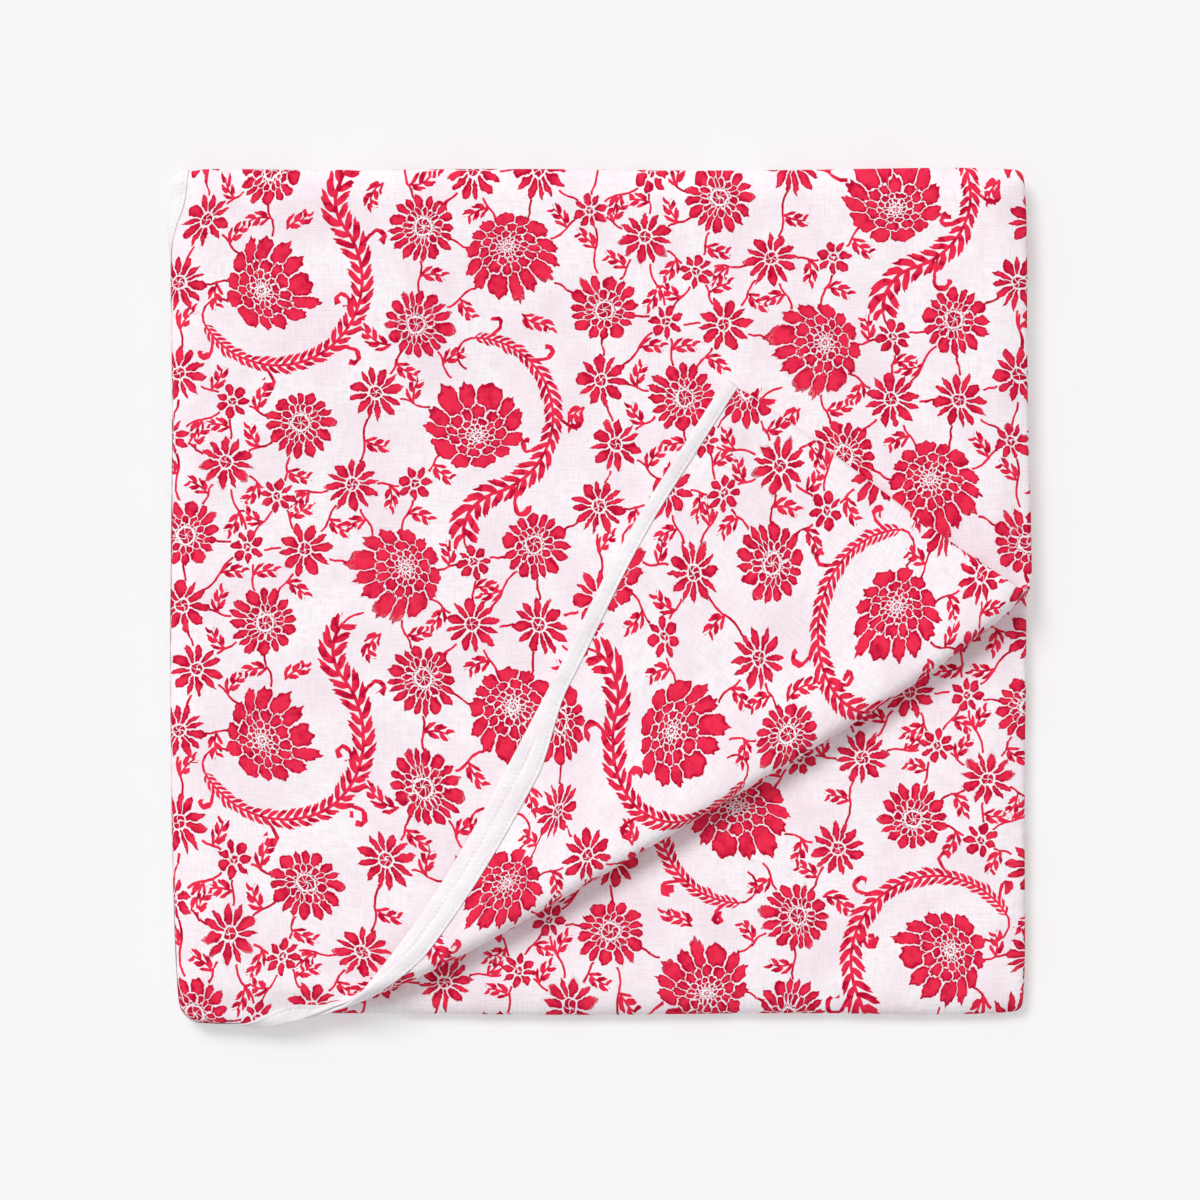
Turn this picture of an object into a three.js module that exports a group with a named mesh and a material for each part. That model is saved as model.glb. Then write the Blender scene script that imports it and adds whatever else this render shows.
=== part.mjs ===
// A crib quilt folded to a square pad, with one corner of its top fold turned back over the top.
//
// The cloth is first laid out flat: "across" runs over its width and "along" over its length, both
// measured from the corner where the side fold and the top fold cross, and "rise" is the height over
// the middle of its thickness. Every vertex is made there and then carried through the folds:
//   1. in half about the side fold, on the right, which makes a package of two layers;
//   2. the package back and forth about the top fold and the bottom fold, which makes six layers;
//   3. the overhang of the top layer down over the left side and the bottom left corner;
//   4. the free bottom right corner of the top package rolled back over the pad.
// Millimetres, +Z up, with the pad lying on z = 0.
import * as THREE from "three";

// ---- Cloth ----
const LAYER = 4.0; // thickness of the quilted cloth
const AIR = 0.6; // space between two layers
const PITCH = LAYER + AIR;

// ---- Folded pad ----
const PAD_HALF_WIDTH = 250;
const PAD_HALF_DEPTH = 247;
const SIDE_RADIUS = PITCH / 2; // of the middle of the cloth at the side fold
const TURN_RADIUS = PITCH; // of the middle of a package at the top and bottom folds
const SIDE_X = PAD_HALF_WIDTH - SIDE_RADIUS - LAYER / 2; // where the side fold starts to turn
const TURN_Y = PAD_HALF_DEPTH - 1.5 * PITCH - LAYER / 2; // where the top fold starts to turn
const SIDE_TURN = Math.PI * SIDE_RADIUS; // cloth used up by the side fold
const END_TURN = Math.PI * TURN_RADIUS; // cloth used up by the top or the bottom fold
const BOTTOM_START = END_TURN + 2 * TURN_Y; // cloth along, where the bottom fold starts
const BOTTOM_END = BOTTOM_START + END_TURN;
// Heights over the middle of layer 1: the top and bottom folds' axes and the surface under layer 6.
const TOP_AXIS = -1.5 * PITCH;
const BOTTOM_AXIS = -3.5 * PITCH;
const UNDERSIDE = -5 * PITCH - LAYER / 2;

// ---- Overhang of the top layer, down the left side and round the bottom left corner ----
const DROP_RADIUS = 4;
const DROP_ARC = (Math.PI / 2) * DROP_RADIUS;
const DROP_HANG = 9.2; // hanging straight below the bend
const DROP_X = -PAD_HALF_WIDTH + DROP_RADIUS + LAYER / 2; // where the bend starts, on the left
const DROP_Y = -PAD_HALF_DEPTH - 1.5 + DROP_RADIUS + LAYER / 2; // and at the bottom left corner
const DROP_CORNER = 6; // radius of the bend's line round the corner

// ---- Outline of the flat cloth ----
const LEFT = -(SIDE_X - DROP_X + DROP_ARC + DROP_HANG); // raw edge of layers 1, 4 and 5
const RIGHT = SIDE_TURN + SIDE_X + 242; // raw edge of layers 2, 3 and 6
const BOTTOM = -(TURN_Y + 244); // raw edge of the top package
const TOP = BOTTOM_END + TURN_Y + 239; // raw edge of the lowest package
const DROP_END = DROP_HANG + DROP_ARC; // from the left raw edge in to where the bend starts
const CORNER_LENGTH = 14; // extra cloth that hangs over the bottom at the left corner
const TIP_LENGTH = 5; // and at the corner that is turned back

// ---- Binding, a strip folded over the raw edge all the way round ----
const BIND_COVER = 8.5; // how far it reaches in over the cloth
const BIND_OUT = 1.4; // how far it stands out past the raw edge
const BIND_ROUND = 0.4; // where its outer edge starts to round off, in from the raw edge
const BIND_HALF = LAYER / 2; // half of its whole thickness
const BIND_EDGE_HALF = 1.2; // and at its rounded outer edge
const BIND_SEAM_HALF = 1.85; // and at its inner edge, where it is sewn down
const CLOTH_EDGE_HALF = 1.0; // half of the cloth's thickness where the binding presses it
const CLEAR = 0.35; // between the binding and the cloth
const PRESS_SLOPE = 20; // the cloth is full again this far in

// ---- Turned-back corner ----
const CREASE_LEFT = new THREE.Vector2(-154, -243.6); // outer side of the roll at the bottom edge
const CREASE_RIGHT = new THREE.Vector2(253, 1.2); // and at the right edge
const TIP = new THREE.Vector2(73, 120); // where the corner of the cloth comes to lie
const ROLL_INNER = 3.5; // inner radius of the roll
const ROLL_MIDDLE = 7.5; // radius at which the cloth keeps its length
const ROLL_BOW = 13.5; // how far the roll bows out in the middle of its length
const ROLL_SETTLE = 70; // distance over which the turned-back cloth comes down to the pad
const BOW_REACH = [-140, -15]; // from the crease, where the bow starts and where it is full

// ---- Mesh ----
const SIDE_STEPS = 5;
const END_STEPS = 5;
const ROLL_STEPS = 6;
const PANEL_CELL = 84; // largest cell in the top package
const HIDDEN_CELL = 150; // largest cell in the packages below
const SNAP = 0.05; // a vertex this near a cutting line counts as on it

// Smooth step from 0 at "from" to 1 at "to".
function ease(value, from, to) {
  const share = Math.min(1, Math.max(0, (value - from) / (to - from)));
  return share * share * (3 - 2 * share);
}

// A half turn: "travel" is the cloth's way past the line where it starts, "height" the distance over
// the turn's axis and "radius" the one at which length is kept. Gives the new [forward, height].
function hairpin(travel, height, radius) {
  if (travel <= 0) return [travel, height];
  const turn = Math.min(Math.PI, travel / radius);
  const back = travel - turn * radius;
  return [height * Math.sin(turn) - back, height * Math.cos(turn)];
}

// Uneven hems, as in-plane shifts of the cloth: { where, across, along } in millimetres, each fading
// out into the cloth.
const hemShifts = [
  {
    where: "left raw edge, less overhang about the top fold",
    across: (a, b) => 8 * (ease(b, -50, -3) - ease(b, 14, 74)) * ease(-a, 440, 495),
    along: () => 0,
  },
  {
    where: "raw edge of layers 2 and 3, drawn in about the top fold, behind layer 1",
    across: (a, b) => -13 * ease(a, 300, 480) * (ease(b, -130, -60) - ease(b, 14, 74)),
    along: () => 0,
  },
  {
    where: "bottom edge of layer 1, longer where it hangs over the bottom left corner",
    across: () => 0,
    along: (a, b) => -CORNER_LENGTH * ease(-a, 422, 471) * ease(-b, 350, 455),
  },
  {
    where: "bottom edge of layer 2, short of layer 1 on the lower half of the turned-back corner",
    across: () => 0,
    along: (a, b) => 8.5 * ease(a, 187, 237) * (1 - ease(a, 345, 395)) * ease(-b, 430, 465),
  },
  {
    where: "bottom edge of layer 2, tucked behind the overhang",
    across: () => 0,
    along: (a, b) => 4.5 * ease(a, 433, 478) * ease(-b, 400, 465),
  },
  {
    where: "bottom edge of layers 1 and 2, fuller next to the tip of the turned-back corner",
    across: () => 0,
    along: (a, b) => -TIP_LENGTH * (1 - ease(Math.abs(a), 70, 190)) * ease(-b, 380, 460),
  },
  {
    where: "raw edge of layers 2, 3 and 6, wandering",
    across: (a, b) => -(2 + 2 * Math.sin(b / 95)) * ease(a, 250, 480),
    along: () => 0,
  },
  {
    where: "last raw edge, under the top fold, wandering",
    across: () => 0,
    along: (a, b) => -(3 + 3 * Math.sin(a / 140)) * ease(b, 760, 960),
  },
];

function hemShift(a, b) {
  const along = hemShifts.reduce((sum, shift) => sum + shift.along(a, b), 0);
  return [hemShifts.reduce((sum, shift) => sum + shift.across(a, b), 0), along];
}

// How far the left side is drawn in with its bend: a little at the top fold, and layers 4 and 5 far
// enough to lie under the overhang of layer 1.
function drawIn(a, b) {
  return (2 * ease(b, -50, -3) + 16.5 * ease(b, 14, 74)) * ease(-a, 300, 495);
}

// How much of the overhang's quarter turn is made, from 0 to 1: whole on the left side and at the
// corner, a third round the top fold, none past it and at the turned-back corner.
function dropShare(a, b) {
  const alongSide = 1 - (2 * ease(b, -50, -3) + ease(b, 14, 50)) / 3;
  const alongBottom = 1 - ease(a, -468, -418);
  return alongSide * alongBottom;
}

// Bends the flat top layer down along its raw edges. The line where the bend starts has a rounded
// corner. Past it the cloth follows a circle and then hangs straight.
function overhang([x, y, z], share) {
  const out = [DROP_X - x + DROP_CORNER, DROP_Y - y + DROP_CORNER];
  const corner = Math.min(...out) > 0;
  const reach = corner ? Math.hypot(...out) : Math.max(...out);
  const past = reach - DROP_CORNER;
  if (past <= 0 || share <= 0) return [x, y, z];
  const way = corner ? out.map((v) => v / reach) : out[0] > out[1] ? [1, 0] : [0, 1];
  const fullTurn = (share * Math.PI) / 2;
  const turn = Math.min(fullTurn, past / DROP_RADIUS);
  const straight = past - turn * DROP_RADIUS;
  const forward = (DROP_RADIUS + z) * Math.sin(turn) + straight * Math.cos(turn);
  const down = (DROP_RADIUS + z) * Math.cos(turn) - DROP_RADIUS - straight * Math.sin(turn);
  return [x + way[0] * (past - forward), y + way[1] * (past - forward), down];
}

// The crease's own frame: "reach" is the distance past the line where the roll starts, towards the
// corner, and "run" the way along that line.
const creaseRun = CREASE_RIGHT.clone().sub(CREASE_LEFT);
const creaseLength = creaseRun.length();
creaseRun.normalize();
const creaseReach = new THREE.Vector2(creaseRun.y, -creaseRun.x);
const rollOuter = ROLL_INNER + 2 * LAYER + AIR;
const creaseStart = CREASE_LEFT.clone().addScaledVector(creaseReach, -rollOuter);

function toCrease(x, y) {
  const from = new THREE.Vector2(x, y).sub(creaseStart);
  return [from.dot(creaseRun), from.dot(creaseReach)];
}

const rollTurn = Math.PI * ROLL_MIDDLE; // cloth used up by the roll
const [cornerRun, cornerReach] = toCrease(SIDE_X, TURN_Y + BOTTOM - TIP_LENGTH);
const [tipRun, tipReach] = toCrease(TIP.x, TIP.y);
const slant = (tipRun - cornerRun) / cornerReach; // drag of the corner along the crease
const shrink = -tipReach / (cornerReach - rollTurn);

// Rolls the corner of the top package back over the pad, then bows the crease outwards. "z" is the
// height over the middle of layer 1.
function turnBack([x, y, z]) {
  let [run, reach] = toCrease(x, y);
  const depth = LAYER / 2 - z;
  if (reach > 0) {
    run += slant * reach;
    const turn = Math.min(Math.PI, reach / ROLL_MIDDLE);
    const back = reach - turn * ROLL_MIDDLE;
    const settle = (2 * ROLL_INNER - AIR) * ease(back, 0, ROLL_SETTLE);
    reach = (ROLL_INNER + depth) * Math.sin(turn) - shrink * back;
    z = LAYER / 2 + ROLL_INNER - (ROLL_INNER + depth) * Math.cos(turn) - settle;
  }
  const place = Math.min(1, Math.max(0, run / creaseLength));
  reach += ROLL_BOW * (1 - (2 * place - 1) ** 4) * ease(reach, ...BOW_REACH);
  const at = creaseStart.clone().addScaledVector(creaseRun, run).addScaledVector(creaseReach, reach);
  return [at.x, at.y, z];
}

// The pad's outline: its corners drawn in a little, and its top corners standing out like ears.
function soften([x, y, z]) {
  const side = x / PAD_HALF_WIDTH;
  const end = y / PAD_HALF_DEPTH;
  const ears = 2.0 * side ** 4 * ease(end, 0.5, 1);
  return [x - 2.5 * side * end ** 12, y - 2.5 * end * side ** 12 + ears, z];
}

// How far the bottom fold is drawn in behind the overhang at the bottom left.
function foldInset(x, y) {
  return 5.5 * (1 - ease(x, -225, -150)) * (0.5 - y / (2 * PAD_HALF_DEPTH));
}

// Carries a point of the flat cloth to its place in the folded quilt.
function fold(flatAcross, flatAlong, rise) {
  const [across, along] = hemShift(flatAcross, flatAlong);
  const [sideways, sideHeight] = hairpin(flatAcross + across, rise + SIDE_RADIUS, SIDE_RADIUS);
  const b = flatAlong + along;
  let x = SIDE_X + sideways;
  let z = sideHeight - SIDE_RADIUS;
  let y;
  if (b < BOTTOM_START / 2) {
    const share = flatAcross < 0 ? dropShare(flatAcross, flatAlong) : 0;
    [x, y, z] = overhang([x, TURN_Y + b, z], share);
    const [forward, height] = hairpin(y - TURN_Y, z - TOP_AXIS, TURN_RADIUS);
    y = TURN_Y + forward;
    z = height + TOP_AXIS;
  } else {
    // Layers 4 and 3 come here as layers 1 and 2 do, turned over by the top fold.
    const turnedOver = 2 * TOP_AXIS - z;
    const [forward, height] = hairpin(b - BOTTOM_START, turnedOver - BOTTOM_AXIS, TURN_RADIUS);
    y = -TURN_Y - forward;
    z = height + BOTTOM_AXIS;
  }
  if (flatAcross < 0) x += drawIn(flatAcross, flatAlong);
  if (flatAlong < 0) [x, y, z] = turnBack([x, y, z]);
  else y += foldInset(x, y) * ease(flatAlong, 0, 60);
  [x, y, z] = soften([x, y, z]);
  return new THREE.Vector3(x, y, z - UNDERSIDE);
}

// ---- Flat mesh ----

// Numbers from "from" to "to" in equal steps no longer than "step", without the first.
function steps(from, to, step) {
  const count = Math.ceil(Math.abs(to - from) / step - 1e-6);
  return Array.from({ length: count }, (_, i) => from + ((to - from) * (i + 1)) / count);
}

// Lines of the mesh where the shape changes. Hems and corner: in from the raw edge, at the binding's
// inner edge and the bend of the overhang. Side: out from the side fold, in layer 1 and under it.
// Top and below: past the top fold, in layer 1 before it and in the layers under it.
const hemLines = [BIND_COVER, 12, DROP_END];
const cornerLines = [3, 5.75, ...hemLines, 26.5];
const sideLines = [390, 420, 434, 448, 465];
const underSideLines = [420, 448];
const topLines = [-130, -60, -44, -28, -14, 0];
const belowTopLines = [38, 74];

// The lines that the cloth and its binding share.
const acrossInner = [
  ...hemLines.map((inside) => LEFT + inside),
  ...sideLines.map((out) => -out).reverse(),
  ...steps(-sideLines[0], 0, PANEL_CELL),
  ...steps(0, SIDE_TURN, SIDE_TURN / SIDE_STEPS),
  ...steps(SIDE_TURN, SIDE_TURN + sideLines[0], PANEL_CELL),
  ...underSideLines.map((out) => SIDE_TURN + out),
  RIGHT - PRESS_SLOPE,
];
const alongInner = [
  ...cornerLines.map((inside) => BOTTOM + inside),
  ...steps(BOTTOM + cornerLines.at(-1), topLines[0], PANEL_CELL),
  ...topLines.slice(1),
  ...steps(0, END_TURN, END_TURN / END_STEPS),
  ...belowTopLines,
  ...steps(belowTopLines.at(-1), BOTTOM_START, HIDDEN_CELL),
  ...steps(BOTTOM_START, BOTTOM_END, END_TURN / END_STEPS),
  ...steps(BOTTOM_END, TOP - PRESS_SLOPE, HIDDEN_CELL),
];

// The reach past the crease of a point of the flat cloth in the top package, before it is rolled.
function flatReach([flatAcross, flatAlong]) {
  const [across, along] = hemShift(flatAcross, flatAlong);
  const a = flatAcross + across;
  const x = SIDE_X - Math.max(0, a - SIDE_TURN) + Math.min(0, a);
  return toCrease(x, TURN_Y + flatAlong + along)[1];
}

const cutLevels = [
  -90,
  -45,
  ...Array.from({ length: ROLL_STEPS + 1 }, (_, i) => (rollTurn * i) / ROLL_STEPS),
  rollTurn + 14,
  rollTurn + 36,
  rollTurn + ROLL_SETTLE,
];

// Cuts a convex cell along the line where flatReach is "level".
function cutCell(cell, level) {
  const heights = cell.map((corner) => {
    const over = flatReach(corner) - level;
    return Math.abs(over) < SNAP ? 0 : over;
  });
  if (Math.max(...heights) <= 0 || Math.min(...heights) >= 0) return [cell];
  const low = [];
  const high = [];
  cell.forEach((corner, i) => {
    const next = (i + 1) % cell.length;
    if (heights[i] <= 0) low.push(corner);
    if (heights[i] >= 0) high.push(corner);
    if (heights[i] * heights[next] < 0) {
      const share = heights[i] / (heights[i] - heights[next]);
      const cut = corner.map((value, k) => value + share * (cell[next][k] - value));
      low.push(cut);
      high.push(cut);
    }
  });
  return [low, high];
}

// The rectangular cells between two sets of lines, cut along the roll's lines in the top package.
function cellsBetween(acrossLines, alongLines) {
  let cells = [];
  for (let i = 1; i < acrossLines.length; i++)
    for (let j = 1; j < alongLines.length; j++) {
      const [a0, a1] = [acrossLines[i - 1], acrossLines[i]];
      const [b0, b1] = [alongLines[j - 1], alongLines[j]];
      cells.push([[a0, b0], [a1, b0], [a1, b1], [a0, b1]]);
    }
  for (const level of cutLevels)
    cells = cells.flatMap((cell) => (cell[2][1] <= 0 ? cutCell(cell, level) : [cell]));
  return cells;
}

// How far a point of the flat plane lies past the raw edge, less than 0 inside it.
function pastEdge([a, b]) {
  return Math.max(LEFT - a, a - RIGHT, BOTTOM - b, b - TOP);
}

// ---- Closed surfaces ----

// Collects faces given by flat points [across, along] and heights, and folds each vertex once.
class Surface {
  constructor() {
    this.index = [];
    this.places = [];
    this.known = new Map();
  }

  vertex([a, b], rise) {
    const key = [a, b, rise].map((value) => value.toFixed(3)).join();
    if (!this.known.has(key)) {
      this.known.set(key, this.places.length / 3);
      this.places.push(...fold(a, b, rise).toArray());
    }
    return this.known.get(key);
  }

  // A convex face from flat corners with their heights, counterclockwise seen from outside, or
  // clockwise on side -1. It is cut from its first corner either way, so that two faces over one
  // cell stay parallel where the cloth twists.
  face(corners, side) {
    const ids = corners.map(([at, rise]) => this.vertex(at, rise));
    for (let i = 2; i < ids.length; i++)
      this.index.push(ids[0], ...(side > 0 ? [ids[i - 1], ids[i]] : [ids[i], ids[i - 1]]));
  }

  // The cells at a height, facing up (side 1) or down (side -1).
  sheet(cells, riseAt, side) {
    for (const cell of cells) this.face(cell.map((at) => [at, riseAt(at)]), side);
  }

  // Walls over the edges that only one cell has, where "wanted" holds for their middle.
  walls(cells, lowAt, highAt, wanted, side = 1) {
    const name = (at) => at.map((value) => value.toFixed(3)).join();
    const edges = new Map();
    for (const cell of cells)
      cell.forEach((at, i) => {
        const to = cell[(i + 1) % cell.length];
        const back = name(to) + "|" + name(at);
        if (edges.has(back)) edges.delete(back);
        else edges.set(name(at) + "|" + name(to), [at, to]);
      });
    for (const [at, to] of edges.values()) {
      if (!wanted([(at[0] + to[0]) / 2, (at[1] + to[1]) / 2])) continue;
      const low = [at, to].map((end) => [end, lowAt(end)]);
      const high = [to, at].map((end) => [end, highAt(end)]);
      this.face([...low, ...high], side);
    }
  }

  geometry() {
    const made = new THREE.BufferGeometry();
    made.setAttribute("position", new THREE.Float32BufferAttribute(this.places, 3));
    made.setIndex(this.index);
    made.computeVertexNormals();
    return made;
  }
}

function makeQuilt() {
  const acrossLines = [LEFT, ...acrossInner, RIGHT - BIND_COVER, RIGHT];
  const alongLines = [BOTTOM, ...alongInner, TOP - BIND_COVER, TOP];
  const cells = cellsBetween(acrossLines, alongLines);
  const halfAt = (at) => {
    const full = ease(-pastEdge(at), BIND_COVER, PRESS_SLOPE);
    return CLOTH_EDGE_HALF + (LAYER / 2 - CLOTH_EDGE_HALF) * full;
  };
  const surface = new Surface();
  surface.sheet(cells, halfAt, 1);
  surface.sheet(cells, (at) => -halfAt(at), -1);
  surface.walls(cells, (at) => -halfAt(at), halfAt, () => true);
  return surface.geometry();
}

// The cells of the band from BIND_COVER inside the raw edge out to the last of "offsets", which are
// its lines' distances past the raw edge in rising order.
function bandCells(offsets) {
  const lines = (start, inner, end) => [
    ...offsets.map((out) => start - out).reverse(),
    ...inner,
    end - BIND_COVER,
    ...offsets.map((out) => end + out),
  ];
  const all = cellsBetween(lines(LEFT, acrossInner, RIGHT), lines(BOTTOM, alongInner, TOP));
  return all.filter((cell) => {
    const middle = [0, 1].map((k) => cell.reduce((sum, at) => sum + at[k], 0) / cell.length);
    return pastEdge(middle) > -BIND_COVER;
  });
}

function makeBinding() {
  const outer = bandCells([-BIND_ROUND, BIND_OUT]);
  const hollow = bandCells([CLEAR]);
  const hollowHalf = CLOTH_EDGE_HALF + CLEAR;
  const outerHalf = (at) => {
    const past = pastEdge(at);
    if (past > BIND_OUT - SNAP) return BIND_EDGE_HALF;
    return past > -BIND_ROUND - SNAP ? BIND_HALF : BIND_SEAM_HALF;
  };
  const isOutside = (at) => pastEdge(at) > 0;
  const isInside = (at) => !isOutside(at);
  const top = () => hollowHalf;
  const under = () => -hollowHalf;
  const surface = new Surface();
  surface.sheet(outer, outerHalf, 1);
  surface.sheet(outer, (at) => -outerHalf(at), -1);
  surface.walls(outer, (at) => -outerHalf(at), outerHalf, isOutside);
  surface.walls(outer, top, outerHalf, isInside);
  surface.walls(outer, (at) => -outerHalf(at), under, isInside);
  surface.sheet(hollow, top, -1);
  surface.sheet(hollow, under, 1);
  surface.walls(hollow, under, top, isOutside, -1);
  return surface.geometry();
}

// ---- Parts ----
const printedCotton = new THREE.MeshStandardMaterial({
  color: 0xe9a3b2, // crimson flowers on white, seen as one colour
  roughness: 0.9,
  metalness: 0,
});
const plainCotton = new THREE.MeshStandardMaterial({
  color: 0xf6f1f2,
  roughness: 0.9,
  metalness: 0,
});

const pieces = [
  { name: "quilt", geometry: makeQuilt(), material: printedCotton },
  { name: "binding", geometry: makeBinding(), material: plainCotton },
];

const group = new THREE.Group();
for (const { name, geometry, material } of pieces) {
  const mesh = new THREE.Mesh(geometry, material);
  mesh.name = name;
  group.add(mesh);
}

// The origin is the middle of the whole quilt's outline, on the surface it lies on.
const box = new THREE.Box3().setFromObject(group);
const middle = box.getCenter(new THREE.Vector3());
for (const { geometry } of pieces) geometry.translate(-middle.x, -middle.y, 0);

export default group;
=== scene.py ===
"""A printed crib quilt folded to a square pad, one corner turned back, seen from straight above.

The cloth is worked out flat, as a grid over its width and length, and every point is then carried
through the folds. The print belongs to the flat cloth too: each small cell of the grid knows the
flower and the vine next to it, and the materials draw them from those places.
"""

import math
from collections import namedtuple

import bpy
import numpy as np
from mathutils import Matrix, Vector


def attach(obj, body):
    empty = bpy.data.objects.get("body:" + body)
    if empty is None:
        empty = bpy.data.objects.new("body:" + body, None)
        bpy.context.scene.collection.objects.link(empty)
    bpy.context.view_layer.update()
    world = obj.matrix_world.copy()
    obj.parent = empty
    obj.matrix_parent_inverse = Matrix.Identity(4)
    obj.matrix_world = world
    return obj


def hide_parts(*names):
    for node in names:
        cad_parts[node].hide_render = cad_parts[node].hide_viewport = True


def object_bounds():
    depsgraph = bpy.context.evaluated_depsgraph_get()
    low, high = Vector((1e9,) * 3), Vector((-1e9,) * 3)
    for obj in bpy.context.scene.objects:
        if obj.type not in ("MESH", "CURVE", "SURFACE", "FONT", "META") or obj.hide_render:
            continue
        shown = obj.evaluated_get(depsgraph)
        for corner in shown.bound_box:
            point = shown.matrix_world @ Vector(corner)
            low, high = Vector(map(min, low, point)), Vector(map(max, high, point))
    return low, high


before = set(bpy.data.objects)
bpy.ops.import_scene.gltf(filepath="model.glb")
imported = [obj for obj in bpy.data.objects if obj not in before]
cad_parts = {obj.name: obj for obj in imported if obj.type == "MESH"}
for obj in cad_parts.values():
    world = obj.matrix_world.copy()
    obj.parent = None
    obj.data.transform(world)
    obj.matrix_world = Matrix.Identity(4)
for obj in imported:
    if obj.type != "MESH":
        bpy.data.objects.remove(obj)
cad_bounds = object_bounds()

bl_info = {
    "name": "Folded crib quilt",
    "version": (1, 0, 0),
    "blender": (4, 5, 0),
    "location": "View3D > Sidebar > Quilt",
    "description": "Makes a folded crib quilt with a floral print and a sewn binding",
    "category": "Object",
}

MM = 0.001
FULL_TURN = 2 * math.pi

# ---- The stage, in metres and degrees ----
VIEW_LEVEL = 0.7  # share of the pad's height at which the view has its width
VIEW_ALONG = -0.0017  # place of the camera along the pad
FLOOR_REACH = 4.0
FLOOR_SINK = 0.0001  # how far the floor lies under the pad
LAMP_SPREAD = 22  # angle that the lamp fills
LAMP_TURN = (-27, -22, 0)

# ---- The folded quilt, in millimetres, with the CAD part's own sizes ----
LAYER = 4.0  # thickness of the quilted cloth
AIR = 0.6  # space between two layers
PITCH = LAYER + AIR
PAD_HALF_WIDTH = 250.0
PAD_HALF_DEPTH = 247.0
SIDE_RADIUS = PITCH / 2
TURN_RADIUS = PITCH
SIDE_X = PAD_HALF_WIDTH - SIDE_RADIUS - LAYER / 2
TURN_Y = PAD_HALF_DEPTH - 1.5 * PITCH - LAYER / 2
SIDE_TURN = math.pi * SIDE_RADIUS
END_TURN = math.pi * TURN_RADIUS
BOTTOM_START = END_TURN + 2 * TURN_Y
BOTTOM_END = BOTTOM_START + END_TURN
TOP_AXIS = -1.5 * PITCH
BOTTOM_AXIS = -3.5 * PITCH
UNDERSIDE = -5 * PITCH - LAYER / 2

# The top layer hangs over the left and bottom sides.
DROP_RADIUS = 4.0  # bend of its middle line
DROP_ARC = math.pi / 2 * DROP_RADIUS
DROP_HANG = 9.2  # straight length below the bend
DROP_X = -PAD_HALF_WIDTH + DROP_RADIUS + LAYER / 2
DROP_Y = -PAD_HALF_DEPTH - 1.5 + DROP_RADIUS + LAYER / 2
DROP_CORNER = 6.0  # rounding of the bend's corner, seen from above

# Raw edges of the flat cloth: across from the side fold, along from the top fold.
LOWER_REACH = 242.0  # how far left of the pad's middle the lower half ends
FIRST_REACH = 244.0  # how far below the middle the first third ends
LAST_REACH = 239.0  # how far above the middle the last third ends
LEFT = -(SIDE_X - DROP_X + DROP_ARC + DROP_HANG)
RIGHT = SIDE_TURN + SIDE_X + LOWER_REACH
BOTTOM = -(TURN_Y + FIRST_REACH)
TOP = BOTTOM_END + TURN_Y + LAST_REACH
CORNER_LENGTH = 14.0  # extra length of the top layer at its left corner
TIP_LENGTH = 5.0  # extra length of the turned-back corner's tip

BIND_COVER = 8.5  # how far the binding reaches in over the cloth
BIND_OUT = 1.4  # how far it stands out past the raw edge
CLOTH_EDGE_HALF = 1.0  # half thickness of the cloth pressed inside it
CLEAR = 0.35  # space between cloth and binding
PRESS_SLOPE = 20.0  # distance from the raw edge at which the cloth is full again
SEAM = 2.1  # distance of the binding's seam from its inner edge
STRIP_RIDGE = 7  # point of the binding's profile that measures its stations' way
STRIP_END = 3.0  # way from the last station to the first
BAKE_ROWS = 24  # rows that the strip takes on its bake map

# Both ends of the crease where the corner turns back, and where its tip then lies.
CREASE_LEFT = np.array([-154.0, -243.6])
CREASE_RIGHT = np.array([253.0, 1.2])
TIP = np.array([73.0, 120.0])
ROLL_INNER = 3.5  # radius inside the roll
ROLL_MIDDLE = 7.5  # radius that measures the cloth's way round it
ROLL_BOW = 13.5  # how far the crease bows out in its middle
ROLL_SETTLE = 70.0  # way over which the corner comes down to the pad
BOW_FADE = (-140, -15)  # where the bow begins inside the crease, and where it is whole
EARS = 2.0  # how far the top corners stand out
CORNERS = 2.5  # how far all corners are drawn in
# The finished cloth is pressed a little flatter than the CAD part.
ROLL_PRESS = 0.5  # the roll's depth beside its height
EDGE_PRESS = 0.15  # share of the pad's height that its outline loses
EDGE_START = 0.925  # share of the way out where that begins

# Where the top fold begins and stops to tell in the cloth beside it, along.
BEFORE_FOLD = (-50, -3)
AFTER_FOLD = (14, 74)

PUCKER = 0.16  # height of the ripples beside the binding's seam
# Soft creases of the top cloth, flat: across and along of both ends, depth and half width.
CREASES = (
    (38, -460, 46, -362, 0.55, 3.6),
    (68, -415, 60, -312, 0.45, 4.2),
    (12, -458, 30, -424, 0.5, 3.0),
    (118, -442, 96, -362, 0.4, 4.4),
    (205, -425, 182, -350, 0.35, 4.6),
    (24, -330, 30, -270, 0.4, 3.8),
    (-330, -90, -250, -112, 0.4, 5.0),
    (-420, -250, -362, -302, 0.35, 5.0),
    (-150, -62, -62, -78, 0.4, 4.6),
    (-92, -152, -34, -196, 0.4, 4.4),
    (-300, -330, -352, -402, 0.35, 5.0),
    (-452, -120, -408, -80, 0.35, 4.6),
)

# ---- The print, in millimetres on the flat cloth ----
REPEAT_WIDTH = 244.0
REPEAT_HEIGHT = 262.0  # each column of repeats stands half of this higher than the one before
PRINT_START = (92.0, 38.0)  # where a repeat starts on the cloth

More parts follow.
